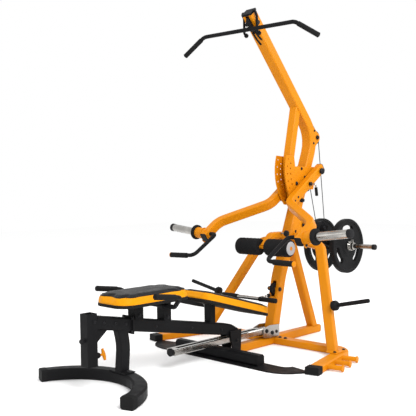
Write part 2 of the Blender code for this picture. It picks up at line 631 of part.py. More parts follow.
# ---------------------------------------------------------------- press arms
def make_arms():
    px, pz = ARM_PIVOT
    slope = (Vector(ARM_END) - Vector(ARM_PIVOT))
    length = slope.length
    run = slope.normalized()
    normal = Vector((-run.y, 0, run.x))

    def spot(along, y):
        return Vector((px + run.x * along, y, pz + run.y * along))

    hx, hz = ARM_HORN
    for label, side in SIDES:
        path = rounded([spot(-0.042, side * ARM_INNER_Y), spot(0.375, side * ARM_INNER_Y),
                        spot(0.585, side * ARM_OUTER_Y), spot(length, side * ARM_OUTER_Y)], 0.085)
        arm = tube(label + "_arm", path, box_section(ARM_DEEP, ARM_WIDE), normal, "yellow_powder_coat")
        axis = Vector((0, side * math.cos(HORN_TILT), math.sin(HORN_TILT)))
        seat = Vector((hx, side * ARM_OUTER_Y, hz))
        boolean(arm, rod(label + "_horn_boss", seat, seat + axis * 0.088, 0.036, None), "UNION")
        holes(arm, "arm_bore_" + label, [ARM_PIVOT], 0.0131, side * 0.078 - 0.06, side * 0.078 + 0.06, 20)
        pin_x, pin_z = pull_pin_spot()
        holes(arm, "pull_pin_bore_" + label, [(pin_x, pin_z)], 0.0062, side * 0.078 - 0.06, side * 0.078 + 0.06, 12)
        pivot_at(arm, px, 0, pz)
        horn_root = seat + axis * (0.088 + GAP)
        horn = turned(label + "_arm_horn", [(HORN_RADIUS, 0.0), (HORN_RADIUS, 0.247), (HORN_RADIUS - 0.003, 0.250)],
                      horn_root, axis, "chrome", 20)
        pivot_at(horn, px, 0, pz)
        bumper = turned(label + "_arm_bumper", [(HORN_RADIUS + 0.0005, 0.0), (0.046, 0.0), (0.049, 0.003),
                                                (0.049, 0.019), (0.046, 0.022), (HORN_RADIUS + 0.0005, 0.022)],
                        horn_root, axis, "black_rubber", 20, ring=True)
        pivot_at(bumper, px, 0, pz)
        grip_y = side * 0.295
        face = side * (ARM_OUTER_Y - ARM_WIDE / 2 - 0.0015)
        handle_path = rounded([(-0.152, face, 0.700), (-0.158, grip_y, 0.700), (-0.362, grip_y, 0.578),
                               (-0.368, side * 0.500, 0.572)], (0.030, 0.038), 4)
        handle = tube(label + "_handle", handle_path, round_section(0.0150, 10), (0.5, 0.2, 0.84), "black_rubber",
                      smooth=True)
        pivot_at(handle, px, 0, pz)
        inner = side * (MAST_WIDE / 2 + 0.006 + 2 * GAP)
        pin_path = rounded([(pin_x, inner, pin_z), (pin_x, side * 0.150, pin_z), (pin_x + 0.012, side * 0.150,
                                                                                  pin_z - 0.075)], 0.014, 4)
        pull_pin = tube(label + "_pull_pin", pin_path, round_section(0.0055, 10), (0.987, 0, 0.16), "chrome", smooth=True)
        pivot_at(pull_pin, px, 0, pz)


# ---------------------------------------------------------------- thigh rollers
def make_rollers():
    x, z = ROLLER
    arm_path = rounded(xz(((0.180, 0.640), (0.150, 0.690), (0.045, 0.690), (x, z))), (0.02, 0.05), 4)
    frame = tube("roller_frame", arm_path, box_section(0.050, 0.038), (0, 1, 0), "yellow_powder_coat")
    boolean(frame, solid_mast("mast_by_roller", GAP))
    axle = rod("roller_axle", (x, -ROLLER_OUTER_Y - 0.006, z), (x, ROLLER_OUTER_Y + 0.006, z), 0.0125, None)
    boolean(frame, axle, "UNION")
    for label, side in SIDES:
        start = side * ROLLER_INNER_Y
        length = ROLLER_OUTER_Y - ROLLER_INNER_Y
        profile = [(0.0135, 0.0), (ROLLER_RADIUS - 0.010, 0.0), (ROLLER_RADIUS, 0.010), (ROLLER_RADIUS, length - 0.010),
                   (ROLLER_RADIUS - 0.010, length), (0.0135, length)]
        roller = turned(label + "_thigh_roller", profile, (x, start, z), (0, side, 0), "black_vinyl", 20, ring=True)
        pivot_at(roller, x, 0, z)


# ---------------------------------------------------------------- lat bar and row handle
def make_lat_bar():
    x = TOP_START.x
    drop = LAT_BAR_Z - 0.100
    across = Vector((-math.sin(LAT_BAR_TURN), math.cos(LAT_BAR_TURN)))
    points = [(x + across.x * along, across.y * along, z) for along, z in
              ((-0.472, drop), (-0.323, LAT_BAR_Z), (0.323, LAT_BAR_Z), (0.472, drop))]
    bar = tube("lat_bar", rounded(points, 0.070, 4), round_section(0.0140, 10), (1, 0, 0), "black_powder_coat",
               smooth=True)
    eye = rod("lat_eye", (x, 0, LAT_BAR_Z), (x, 0, LAT_BAR_Z + EYE_HIGH), 0.0035, None, 8)
    boolean(bar, eye, "UNION")


def make_row_handle():
    """Row handle and its chain, lying on the front pad."""
    ball = ROW_MOUTH + Vector((-GAP, 0))
    start = ball + Vector((-0.022, 0.0))
    turned("cable_stop", [(0.004, 0.0), (0.011, 0.004), (0.013, 0.010), (0.011, 0.016), (0.004, 0.020)],
           (ball.x, 0, ball.y), (-1, 0, 0), "cable_black", 10)
    chain_end = start + Vector((-0.150, -0.002))
    tube("row_chain", [(start.x, 0, start.y), (chain_end.x, 0, chain_end.y)], box_section(0.010, 0.014, 0.003),
         (0, 1, 0), "chrome")
    grip = chain_end + Vector((-0.030, 0.0130))
    handle = tube("row_handle", [(grip.x, -0.215, grip.y), (grip.x, 0.215, grip.y)], round_section(0.0150, 12), (0, 0, 1),
                  "black_rubber", smooth=True)
    tab = tube("row_tab", [(chain_end.x - 0.0055, 0, chain_end.y + 0.002), (grip.x, 0, grip.y)], box_section(0.020, 0.016, 0.003),
               (0, 1, 0), None)
    boolean(handle, tab, "UNION")


# ---------------------------------------------------------------- bench
def beam_z(x, drop=0.0):
    return BEAM_START[1] - (x - BEAM_START[0]) * math.tan(BENCH_SLOPE) - drop


def make_bench_beam():
    path = rounded(xz(((BEAM_START[0] + 0.004, beam_z(BEAM_START[0] + 0.004)), (-0.385, beam_z(-0.385)),
                       (-0.330, 0.124))), 0.10, 5)
    beam = tube("bench_beam", path, box_section(0.060, 0.068), (0, 1, 0), "black_powder_coat")
    boolean(beam, block("rail_by_beam", (-0.7, -0.2, -0.2), (0.0, 0.2, 0.115 + GAP)))
    for label, side in SIDES:
        cheek = [(-0.400, 0.150), (-0.375, 0.0), (-0.310, 0.0), (-0.300, 0.150)]
        low, high = sorted((side * 0.0360, side * 0.0430))
        boolean(beam, slab("cheek_beam_" + label, cheek, low, high, None), "UNION")
    under = [(x, SEAT_HINGE[1] + 0.004 - (x - SEAT_HINGE[0]) * math.tan(SEAT_SLOPE) - 0.002) for x in (-0.505, -0.545)]
    prop = under + [(-0.545, beam_z(-0.545)), (-0.505, beam_z(-0.505))]
    boolean(beam, slab("pad_prop", prop, -0.025, 0.025, None), "UNION")
    boolean(beam, block("cheek_bridge", (-0.380, -0.0425, 0.122), (-0.320, 0.0425, 0.146)), "UNION")
    return beam


def make_bench_rear_frame():
    """Upright receiver post, cross member, gusset and curved leg, as one weldment."""
    post_x = -1.372
    post = block("bench_rear_frame", (post_x - 0.030, -0.030, 0.125), (post_x + 0.030, 0.030, 0.387),
                 "black_powder_coat")
    boolean(post, block("post_bore", (post_x - 0.027, -0.027, 0.145), (post_x + 0.027, 0.027, 0.5)))
    joint = BEAM_START[0] + 0.0035
    member = tube("rear_member", xz(((post_x + 0.0285, beam_z(post_x + 0.0285)), (joint - 0.0005, beam_z(joint)))),
                  box_section(0.060, 0.068), (0, 1, 0), None)
    boolean(post, member, "UNION")
    leg = tube("curved_leg", rounded(xz(((-1.185, beam_z(-1.185)), (-1.160, 0.200), (-1.172, 0.0603))), 0.30, 5),
               box_section(0.050, 0.062), (0, 1, 0), None)
    boolean(post, leg, "UNION")
    boolean(post, block("foot_by_leg", (-1.30, -0.10, -0.10), (-1.00, 0.10, 0.0604)))
    gusset = slab("rear_gusset", [(post_x + 0.0285, 0.330), (post_x + 0.0285, 0.235), (-1.265, 0.300)], -0.020, 0.020, None)
    boolean(post, gusset, "UNION")
    flange = slab("rear_flange", [(joint - 0.008, beam_z(joint) + 0.046), (joint, beam_z(joint) + 0.046),
                                  (joint, beam_z(joint) - 0.046), (joint - 0.008, beam_z(joint) - 0.046)],
                  -0.045, 0.045, None)
    boolean(post, flange, "UNION")
    beam = bpy.data.objects["bench_beam"]
    boolean(beam, block("beam_end_cut", (joint - 0.1, -0.1, 0.1), (joint + GAP, 0.1, 0.5)))


def make_bench_foot():
    centre, radius = (-1.543, 0.0), 0.378
    plan = arc_points(centre, radius, -72.1, 72.1, 24)
    path = [(x, y, 0.030) for x, y in plan]
    return tube("bench_foot", path, box_section(0.060, 0.072, 0.008), (0, 0, 1), "black_powder_coat")


def make_t_knob():
    x = -1.372 + 0.030 + GAP
    z = 0.170
    knob = turned("t_knob", [(0.013, 0.0), (0.015, 0.006), (0.010, 0.030), (0.006, 0.034), (0.006, 0.052)],
                  (x, 0, z), (1, 0, 0), "yellow_powder_coat", 14)
    bar = rod("t_bar", (x + 0.056, -0.010, z - 0.024), (x + 0.056, 0.010, z + 0.024), 0.0085, None, 10)
    boolean(knob, bar, "UNION")


def make_seat_frame():
    """Uprights on the beam, the plate under the pads and the grab bar."""
    top = 0.392
    plate = block("seat_frame", (-1.100, -0.040, top), (-0.790, 0.040, top + 0.008), "black_powder_coat")
    for label, x, wide in (("rear", -1.075, 0.055), ("front", -0.878, 0.050)):
        upright = block("upright_" + label, (x - wide / 2, -0.030, beam_z(x)), (x + wide / 2, 0.030, top + 0.004))
        boolean(plate, upright, "UNION")
    lug = [(-0.798, 0.394), (-0.760, 0.3885), (-0.700, 0.3690), (-0.600, 0.3345), (-0.600, 0.3180), (-0.798, 0.3720)]
    boolean(plate, slab("seat_lug", lug, -0.030, 0.030, None), "UNION")
    half = [(-1.150, 0.240, 0.464), (-0.975, 0.240, 0.440), (-0.955, 0.170, 0.380)]
    points = half + [(x, -y, z) for x, y, z in reversed(half)]
    grab = tube("grab_bar", rounded(points, (0.030, 0.030, 0.030, 0.030), 4), round_section(0.0125, 10), (0.2, 0.3, 0.93),
                None, smooth=True)
    boolean(plate, grab, "UNION")
    beam_cut = tube("beam_by_seat", xz(((-1.30, beam_z(-1.30)), (-0.60, beam_z(-0.60)))),
                    box_section(0.060 + 2 * GAP, 0.068 + 2 * GAP), (0, 1, 0), None)
    boolean(plate, beam_cut)


def pad_outline(x_low, x_high, half_wide, corner):
    """A rectangle in plan with round corners."""
    outline = []
    for cx, cy, start in ((x_high - corner, half_wide - corner, 0.0), (x_low + corner, half_wide - corner, 90.0),
                          (x_low + corner, corner - half_wide, 180.0), (x_high - corner, corner - half_wide, 270.0)):
        outline += arc_points((cx, cy), corner, start, start + 90.0, 4)
    return outline


def make_pads():
    rear = flat_slab("rear_pad", pad_outline(-1.262, -0.775, 0.140, 0.085), 0.4005, 0.462, "black_vinyl")
    pivot_at(rear, BACK_HINGE[0], 0, BACK_HINGE[1])
    front = flat_slab("front_pad", pad_outline(-0.675, -0.095, 0.135, 0.060), 0.372, 0.436, "black_vinyl")
    pivot_at(front, SEAT_HINGE[0], 0, SEAT_HINGE[1])
    front.rotation_euler = (0, SEAT_SLOPE, 0)


# ---------------------------------------------------------------- assembly
def main():
    make_mast()
    make_boom_cap()
    make_front_strut()
    make_rear_strut()
    make_base_spine()
    make_base_legs()
    make_posts()
    make_foot_plate()
    make_dock_rail()
    make_side_plates()
    make_arm_shaft()
    make_selector_pin()
    make_brackets()
    make_storage_pegs()
    make_pulleys()
    make_cables()
    make_weight_lever()
    make_weight_plates()
    make_arms()
    make_rollers()
    make_lat_bar()
    make_row_handle()
    make_bench_beam()
    make_bench_rear_frame()
    make_bench_foot()
    make_t_knob()
    make_seat_frame()
    make_pads()
    for obj in bpy.data.objects:
        obj.location.x += ORIGIN_X


main()
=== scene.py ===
"""Lat pulldown machine: detailed visual model built on its CAD frame."""

import json
import math

import bmesh
import bpy
from mathutils import Matrix, Vector
from mathutils.bvhtree import BVHTree


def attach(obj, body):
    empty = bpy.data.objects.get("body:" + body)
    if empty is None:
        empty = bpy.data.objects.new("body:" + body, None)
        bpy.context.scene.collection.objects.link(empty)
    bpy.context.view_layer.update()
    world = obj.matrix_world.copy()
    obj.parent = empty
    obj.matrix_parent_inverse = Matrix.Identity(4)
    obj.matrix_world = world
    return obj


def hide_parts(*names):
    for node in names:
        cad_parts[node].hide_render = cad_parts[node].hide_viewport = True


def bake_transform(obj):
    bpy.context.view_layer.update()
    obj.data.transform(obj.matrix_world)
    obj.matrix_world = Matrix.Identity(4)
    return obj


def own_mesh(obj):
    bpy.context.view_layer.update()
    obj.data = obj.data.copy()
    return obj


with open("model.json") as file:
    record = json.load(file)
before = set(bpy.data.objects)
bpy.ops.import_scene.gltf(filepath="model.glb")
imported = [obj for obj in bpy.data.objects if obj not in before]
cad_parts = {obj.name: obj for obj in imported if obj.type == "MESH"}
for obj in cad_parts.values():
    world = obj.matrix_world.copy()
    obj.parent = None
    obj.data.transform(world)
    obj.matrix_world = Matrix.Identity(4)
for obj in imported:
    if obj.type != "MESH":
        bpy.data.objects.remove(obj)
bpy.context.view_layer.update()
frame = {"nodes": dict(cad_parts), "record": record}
NODES = frame["nodes"]
FRAME = "frame"
OX = 0.2524                       # shift of the side profile, so that the box is centred
SIDES = (("left", 1.0), ("right", -1.0))
Z_UP = Vector((0, 0, 1))


def P(x, y, z):
    """A point of the side profile, with x = 0 at the foot of the mast."""
    return Vector((x + OX, y, z))


# ---------------------------------------------------------------- materials
def surface(name, base, second, rough, bump, grain, metallic=0.0, coat=0.0, sheen=0.0, cells=False,
            streaks=0.0, drift=3.0, shine=0.06):
    """A finish with drifting colour, varied roughness and a fine grain in its bump."""
    made = bpy.data.materials.new(name)
    made.use_nodes = True
    nodes, links = made.node_tree.nodes, made.node_tree.links
    shader = nodes["Principled BSDF"]
    shader.inputs["Metallic"].default_value = metallic
    shader.inputs["Specular IOR Level"].default_value = shine
    shader.inputs["Coat Weight"].default_value = coat
    shader.inputs["Coat Roughness"].default_value = 0.25
    shader.inputs["Sheen Weight"].default_value = sheen
    place = nodes.new("ShaderNodeTexCoord")
    stretch = nodes.new("ShaderNodeMapping")
    stretch.inputs["Scale"].default_value = (1.0, 1.0 + streaks, 1.0)
    links.new(place.outputs["Object"], stretch.inputs["Vector"])
    broad = nodes.new("ShaderNodeTexNoise")
    broad.inputs["Scale"].default_value = drift
    broad.inputs["Detail"].default_value = 6.0
    broad.inputs["Roughness"].default_value = 0.6
    links.new(stretch.outputs["Vector"], broad.inputs["Vector"])
    ramp = nodes.new("ShaderNodeValToRGB")
    ramp.color_ramp.elements[0].position = 0.30
    ramp.color_ramp.elements[1].position = 0.70
    ramp.color_ramp.elements[0].color = (*base, 1.0)
    ramp.color_ramp.elements[1].color = (*second, 1.0)
    links.new(broad.outputs["Fac"], ramp.inputs["Fac"])
    links.new(ramp.outputs["Color"], shader.inputs["Base Color"])
    scuff = nodes.new("ShaderNodeTexNoise")
    scuff.inputs["Scale"].default_value = 22.0
    scuff.inputs["Detail"].default_value = 8.0
    links.new(stretch.outputs["Vector"], scuff.inputs["Vector"])
    spread = nodes.new("ShaderNodeMapRange")
    spread.inputs["From Min"].default_value = 0.3
    spread.inputs["From Max"].default_value = 0.7
    spread.inputs["To Min"].default_value = max(0.04, rough - 0.07)
    spread.inputs["To Max"].default_value = min(1.0, rough + 0.09)
    links.new(scuff.outputs["Fac"], spread.inputs["Value"])
    links.new(spread.outputs["Result"], shader.inputs["Roughness"])
    if cells:
        fine = nodes.new("ShaderNodeTexVoronoi")
        height = fine.outputs["Distance"]
    else:
        fine = nodes.new("ShaderNodeTexNoise")
        fine.inputs["Detail"].default_value = 3.0
        height = fine.outputs["Fac"]
    fine.inputs["Scale"].default_value = grain
    links.new(stretch.outputs["Vector"], fine.inputs["Vector"])
    raised = nodes.new("ShaderNodeBump")
    raised.inputs["Strength"].default_value = bump
    raised.inputs["Distance"].default_value = 0.0006
    links.new(height, raised.inputs["Height"])
    links.new(raised.outputs["Normal"], shader.inputs["Normal"])
    return made


MATS = {
    "yellow_powder_coat": surface("yellow_powder", (0.610, 0.213, 0.0024), (0.560, 0.186, 0.0020), 0.42, 0.10,
                                  420, coat=0.03, shine=0.10),
    "black_powder_coat": surface("black_powder", (0.0065, 0.0065, 0.0072), (0.0105, 0.0105, 0.0112), 0.46,
                                 0.40, 700),
    "chrome": surface("plated_steel", (0.42, 0.405, 0.38), (0.30, 0.29, 0.275), 0.20, 0.10, 240, metallic=1.0,
                      streaks=4.0, shine=0.5),
    "black_rubber": surface("rubber", (0.008, 0.008, 0.0085), (0.013, 0.013, 0.013), 0.62, 0.35, 900),
    "black_vinyl": surface("vinyl", (0.008, 0.008, 0.009), (0.012, 0.012, 0.013), 0.45, 0.40, 620, sheen=0.04,
                           cells=True),
    "pulley_nylon": surface("nylon", (0.011, 0.011, 0.012), (0.018, 0.018, 0.019), 0.40, 0.12, 300),
    "cable_black": surface("cable_sheath", (0.009, 0.009, 0.010), (0.016, 0.016, 0.016), 0.34, 0.30, 1200),
    "yellow_vinyl": surface("yellow_vinyl", (0.700, 0.285, 0.0040), (0.640, 0.245, 0.0035), 0.45, 0.40, 620,
                            cells=True),
    "foam": surface("foam", (0.0075, 0.0075, 0.008), (0.014, 0.014, 0.0145), 0.78, 0.90, 850, cells=True),
    "grey_plastic": surface("grey_plastic", (0.42, 0.42, 0.43), (0.36, 0.36, 0.37), 0.45, 0.15, 350),
    "iron": surface("cast_rubber", (0.0075, 0.0075, 0.008), (0.013, 0.013, 0.0135), 0.52, 0.60, 320),
    "bolt_black": surface("bolt_black", (0.012, 0.012, 0.013), (0.030, 0.030, 0.032), 0.34, 0.15, 500,
                          metallic=0.5),
    "board": surface("board", (0.009, 0.0085, 0.008), (0.016, 0.015, 0.014), 0.70, 0.50, 260),
}


# ---------------------------------------------------------------- mesh making
def soften(obj, width=0.0012, angle=32, segments=2):
    """Rounded edges and clean shading."""
    weld = obj.modifiers.new("merge", "WELD")
    weld.merge_threshold = 0.00002
    bevel = obj.modifiers.new("edges", "BEVEL")
    bevel.width = width
    bevel.segments = segments
    bevel.limit_method = "ANGLE"
    bevel.angle_limit = math.radians(angle)
    bevel.use_clamp_overlap = True
    normals = obj.modifiers.new("shading", "WEIGHTED_NORMAL")
    normals.keep_sharp = False
    for polygon in obj.data.polygons:
        polygon.use_smooth = True


def add(name, mesh_data, finish, body, edge=0.0, sharp=35):
    """Turns a bmesh into a piece that rides on a body."""
    bmesh.ops.recalc_face_normals(mesh_data, faces=mesh_data.faces)
    mesh = bpy.data.meshes.new(name)
    mesh_data.to_mesh(mesh)
    mesh_data.free()
    obj = bpy.data.objects.new(name, mesh)
    bpy.context.scene.collection.objects.link(obj)
    mesh.materials.append(MATS[finish])
    if edge:
        soften(obj, edge)
    else:
        mesh.shade_smooth()
        mesh.set_sharp_from_angle(angle=math.radians(sharp))
    if body:
        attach(obj, body)
    return obj


def lathe(name, profile, centre, axis, finish, body, sides=48, ring=False):
    """A turned piece. Profile points are (radius, distance along the axis)."""
    mesh_data = bmesh.new()
    axis = Vector(axis).normalized()
    helper = Z_UP if abs(axis.z) < 0.9 else Vector((1, 0, 0))
    u = axis.cross(helper).normalized()
    v = axis.cross(u)
    rings = [[mesh_data.verts.new(Vector(centre) + axis * along
                  + (u * math.cos(2 * math.pi * i / sides) + v * math.sin(2 * math.pi * i / sides)) * radius)
              for i in range(sides)] for radius, along in profile]
    join_rings(mesh_data, rings + ([rings[0]] if ring else []))
    if not ring:
        mesh_data.faces.new(rings[0])
        mesh_data.faces.new(rings[-1])
    return add(name, mesh_data, finish, body)


def join_rings(mesh_data, rings):
    for first, second in zip(rings, rings[1:]):
        for i in range(len(first)):
            j = (i + 1) % len(first)
            mesh_data.faces.new((first[i], first[j], second[j], second[i]))


def curved(points, radii, steps=8):
    """The polyline with each inner corner turned into an arc."""
    points = [Vector(p) for p in points]
    if not isinstance(radii, (list, tuple)):
        radii = [radii] * (len(points) - 2)
    out = [points[0]]
    for before, corner, after, radius in zip(points, points[1:], points[2:], radii):
        back, ahead = (before - corner).normalized(), (after - corner).normalized()
        half = back.angle(ahead) / 2
        centre = corner + (back + ahead).normalized() * radius / math.sin(half)
        first = corner + back * radius / math.tan(half)
        last = corner + ahead * radius / math.tan(half)
        axis = (first - centre).cross(last - centre).normalized()
        turn = (first - centre).angle(last - centre)
        out += [centre + Matrix.Rotation(turn * s / steps, 3, axis) @ (first - centre)
                for s in range(steps + 1)]
    return out + [points[-1]]


def round_section(radius, sides=20):
    return [(radius * math.cos(2 * math.pi * i / sides), radius * math.sin(2 * math.pi * i / sides))
            for i in range(sides)]


def box_section(wide, deep, corner=0.006):
    w, d, c = wide / 2, deep / 2, corner
    return [(w, d - c), (w - c, d), (c - w, d), (-w, d - c), (-w, c - d), (c - w, -d), (w - c, -d),
            (w, c - d)]


def sweep(name, path, section, reference, finish, body, closed=False, scales=None, edge=0.0):
    """A bar of the given section along a path. Scales swell or pinch it from point to point."""
    mesh_data = bmesh.new()
    path = [Vector(p) for p in path]
    reference = Vector(reference).normalized()
    rings = []
    count = len(path)
    for i, point in enumerate(path):
        after = path[(i + 1) % count] if closed else path[min(i + 1, count - 1)]
        before = path[i - 1] if closed else path[max(i - 1, 0)]
        tangent = (after - before).normalized()
        across = (reference - tangent * reference.dot(tangent)).normalized()
        depth = tangent.cross(across)
        size = scales[i] if scales else 1.0
        rings.append([mesh_data.verts.new(point + (across * a + depth * b) * size) for a, b in section])
    join_rings(mesh_data, rings + ([rings[0]] if closed else []))
    if not closed:
        mesh_data.faces.new(rings[0])
        mesh_data.faces.new(rings[-1])
    return add(name, mesh_data, finish, body, edge)


def prism(name, outline, place, finish, body, edge=0.0012):
    """A flat plate from (a, b) points. place gives the 3D point for a, b and end 0 or 1."""
    mesh_data = bmesh.new()
    rings = [[mesh_data.verts.new(place(a, b, end)) for a, b in outline] for end in (0, 1)]
    join_rings(mesh_data, rings)
    for ring in rings:
        mesh_data.faces.new(ring)
    return add(name, mesh_data, finish, body, edge)


def arc(centre, radius, start, end, steps):
    return [(centre[0] + radius * math.cos(math.radians(start + (end - start) * i / steps)),
             centre[1] + radius * math.sin(math.radians(start + (end - start) * i / steps)))
            for i in range(steps + 1)]


def ribbed(count, depth=0.03):
    """The swell from point to point along a ribbed rubber grip."""
    return [1.0 + depth * math.sin(i * 2.0) for i in range(count)]


# ---------------------------------------------------------------- fittings
serial = {}


def numbered(kind):
    serial[kind] = serial.get(kind, 0) + 1
    return f"{kind}_{serial[kind]:02d}"


def bolt(at, axis, body, size=0.0085, finish="bolt_black"):
    """A hex head with a chamfered crown on its washer."""
    at, axis = Vector(at), Vector(axis).normalized()
    lathe(numbered("washer"),
          [(size * 0.4, 0.0), (size * 1.28, 0.0), (size * 1.28, 0.0014), (size * 0.9, 0.0022)], at, axis,
          finish, body, 28)
    height = size * 0.62
    head = lathe(numbered("bolt_head"), [(size, 0.002), (size, height), (size * 0.86, height + 0.0016)], at,
                 axis, finish, body, 6)
    head.data.shade_flat()
    return head


def button(at, axis, body, size=0.010, finish="bolt_black"):
    """A domed socket head with its recess."""
    rise = size * 0.55
    dome = [(size * math.cos(t), 0.001 + rise * math.sin(t)) for t in (0.0, 0.35, 0.7, 1.0, 1.2)]
    return lathe(numbered("button_head"), [(size, 0.0)] + dome
                 + [(size * 0.33, rise + 0.0008), (size * 0.30, rise - 0.003)], Vector(at), axis, finish,
                 body, 28)


def plug(at, axis, wide, deep, across, body, proud=0.003):
    """A black plastic cap pressed on the end of a box tube."""
    at, axis = Vector(at), Vector(axis).normalized()
    path = [at + axis * 0.0002, at + axis * proud * 0.6, at + axis * proud]
    return sweep(numbered("tube_cap"), path, box_section(wide, deep, 0.007), across, "pulley_nylon", body,
                 scales=[1.0, 1.0, 0.93])


def weld(corners, body, radius=0.0022, finish="yellow_powder_coat"):
    """A rippled fillet bead along a loop of corners."""
    path = []
    corners = [Vector(c) for c in corners]
    for first, second in zip(corners, corners[1:]):
        steps = max(2, int((second - first).length / 0.0022))
        path += [first.lerp(second, s / steps) for s in range(steps)]
    path.append(corners[-1])
    swell = [1.0 + 0.20 * math.sin(i * 2.1) for i in range(len(path))]
    span = path[-1] - path[0]
    tilt = span.orthogonal() if span.length > 0.01 else Vector((0.3, 0.9, 0.3))
    return sweep(numbered("weld"), path, round_section(radius, 8), tilt, finish, body, scales=swell)


# ---------------------------------------------------------------- CAD nodes that stay, with rounded edges
REPLACED = []


def take(obj, *names):
    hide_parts(*names)
    REPLACED.extend(names)
    return obj


def dress_nodes():
    for entry in frame["record"]["subparts"]:
        obj = NODES[entry["node"]]
        if entry["node"] in REPLACED:
            continue
        obj.data.materials.clear()
        obj.data.materials.append(MATS[entry["material_slot"]])
        if "custom_normal" in obj.data.attributes:
            obj.data.attributes.remove(obj.data.attributes["custom_normal"])
        soften(obj, 0.0010)


# ---------------------------------------------------------------- the mast, boom and frame
MAST = [P(0.012, 0, 0), P(0.115, 0, 0.42), P(0.496, 0, 1.343), P(-0.134, 0, 2.068)]
# the pulleys: x, z and the radius that the cable's middle runs at
TOP, REAR, LEVER = (-0.104, 2.012, 0.0496), (0.528, 1.335, 0.0436), (0.590, 0.712, 0.0456)
COLUMN, LOW = (0.422, 1.010, 0.0416), (0.070, 0.345, 0.0366)
ARM_PIVOT, ARM_END = Vector((0.448, 1.100)), Vector((-0.174, 0.677))
LEVER_PIVOT, LEVER_HORN = (0.335, 0.745), (0.745, 0.580)
BAR_X, BAR_Z = -0.1536, 1.966
BAR_TURN = 0.177                  # radians the hanging bar has swung about its cable
ARM_Y = 0.385                     # the press arms' front ends, out from the middle plane
LEVER_LIFT = 50.0                 # degrees of the lever's travel that the cable runs are fitted to
CABLE_RADIUS, COLLAR_WIRE, COLLAR_RADIUS = 0.0026, 0.0026, 0.0288
# the bench's crescent foot: its centre, radius and half its sweep in degrees
FOOT_X, FOOT_RADIUS, FOOT_SPREAD = -1.543, 0.378, 72.1
CLOTH_FRAMES = 20                 # steps of the cushions' cloth run
STRAIGHT_RUNS = []                # cable runs, with the chord way, fixed end and length share for the lever's lift


def make_boom_end():
    boom = (MAST[3] - MAST[2]).normalized()
    end = MAST[3] + boom * 0.0006
    cap = sweep("boom_end_cap", [end, end + boom * 0.009, end + boom * 0.0125],
                box_section(0.077, 0.067, 0.002), (0, 1, 0), "black_powder_coat", FRAME)
    take(cap, "boom_cap")
    behind = BAR_X + 0.030
    for label, side in SIDES:
        y = side * 0.052
        path = curved([end + boom * 0.006 + Vector((0, side * 0.030, 0)), P(-0.1397, y, 2.0745),
                       P(behind, y, 2.044), P(behind, y, BAR_Z - 0.010), P(behind + 0.020, y, BAR_Z - 0.022)],
                      0.006, 5)
        sweep(f"{label}_hook", path, round_section(0.0078, 14), (0.3, 0.9, 0.3), "black_powder_coat", FRAME)
        tip = path[-1]
        lathe(f"{label}_hook_tip", [(0.006, -0.012), (0.0130, -0.009), (0.0135, 0.004), (0.008, 0.0100)], tip,
              path[-1] - path[-2], "black_rubber", FRAME, 20)
        for spot, size in (((TOP[0], 0, TOP[1]), 0.012), ((LOW[0], 0, LOW[1]), 0.011)):
            bolt(P(spot[0], side * 0.0435, spot[2]), (0, side, 0), FRAME, size)
    # two curved black strips on the face under the bar: the dark pulley rim seen in the slots, with painted
    # shade for their open gaps
    under = Vector((-boom.z, 0, boom.x))
    for label, start, shift, length in (("outer", 0.112, 0.011, 0.094), ("inner", 0.106, -0.013, 0.068)):
        spots = []
        for step in range(9):
            t = step / 8
            spots.append(end - boom * (start + length * t) + under * 0.0329
                         + Vector((0, shift + 0.006 - 0.016 * t * t, 0)))
        sweep(f"{label}_slot_rim_and_shade", spots, box_section(0.0160, 0.0018, 0.0006), (0, 1, 0), "black_rubber",
              FRAME)


def make_bolts():
    for label, side in SIDES:
        out = (0, side, 0)
        plate = side * 0.0440
        for x, z, size in ((0.262, 1.020, 0.013), (0.318, 1.118, 0.010), (0.352, 1.062, 0.010),
                           (0.404, 1.062, 0.009)):
            button(P(x, plate, z), out, FRAME, size)
        lathe(f"{label}_shaft_nut",
              [(0.006, 0.0), (0.021, 0.0), (0.021, 0.008), (0.016, 0.013), (0.006, 0.014)],
              P(ARM_PIVOT.x, side * 0.1122, ARM_PIVOT.y), out, "bolt_black", FRAME, 32)
        bolt(P(REAR[0], side * 0.0255, REAR[1]), out, FRAME, 0.012)
        for x, z in ((0.478, 1.378), (0.466, 1.292)):
            button(P(x, side * 0.0378, z), out, FRAME, 0.008)
        bolt(P(LEVER_PIVOT[0], side * 0.0420, LEVER_PIVOT[1]), out, FRAME, 0.013)
        button(P(0.252, side * 0.0372, 0.708), out, FRAME, 0.008)
        bolt(P(LEVER[0], side * 0.0240, LEVER[1]), out, "weight_lever", 0.011)
        for x, z in ((-0.010, 0.080), (0.032, 0.082), (-0.064, 0.098)):
            bolt(P(x, side * 0.0431, z), out, FRAME, 0.0105 if x < 0 else 0.008)
        bolt(P(-0.340, side * 0.0432, 0.086), out, FRAME, 0.009)
        for x, y in ((0.055, 0.052), (0.055, 0.095)):
            bolt(P(x, side * y, 0.0402), (0, 0, 1), FRAME, 0.0095)
        # post feet: a pad plate with two bolts, on the bent base leg
        foot = lambda a, b, end: P(-0.035 + a, side * (0.540 + b), 0.0404 + 0.006 * end)
        prism(f"{label}_post_foot", [(-0.060, -0.036), (0.060, -0.036), (0.060, 0.036), (-0.060, 0.036)],
              foot, "yellow_powder_coat", FRAME)
        for dx in (-0.045, 0.045):
            bolt(P(-0.035 + dx, side * 0.556, 0.0466), (0, 0, 1), FRAME, 0.008)
        for x, z in ((0.225, 0.640), (0.247, 0.690)):
            bolt(P(x, side * 0.040, z), out, FRAME, 0.008)


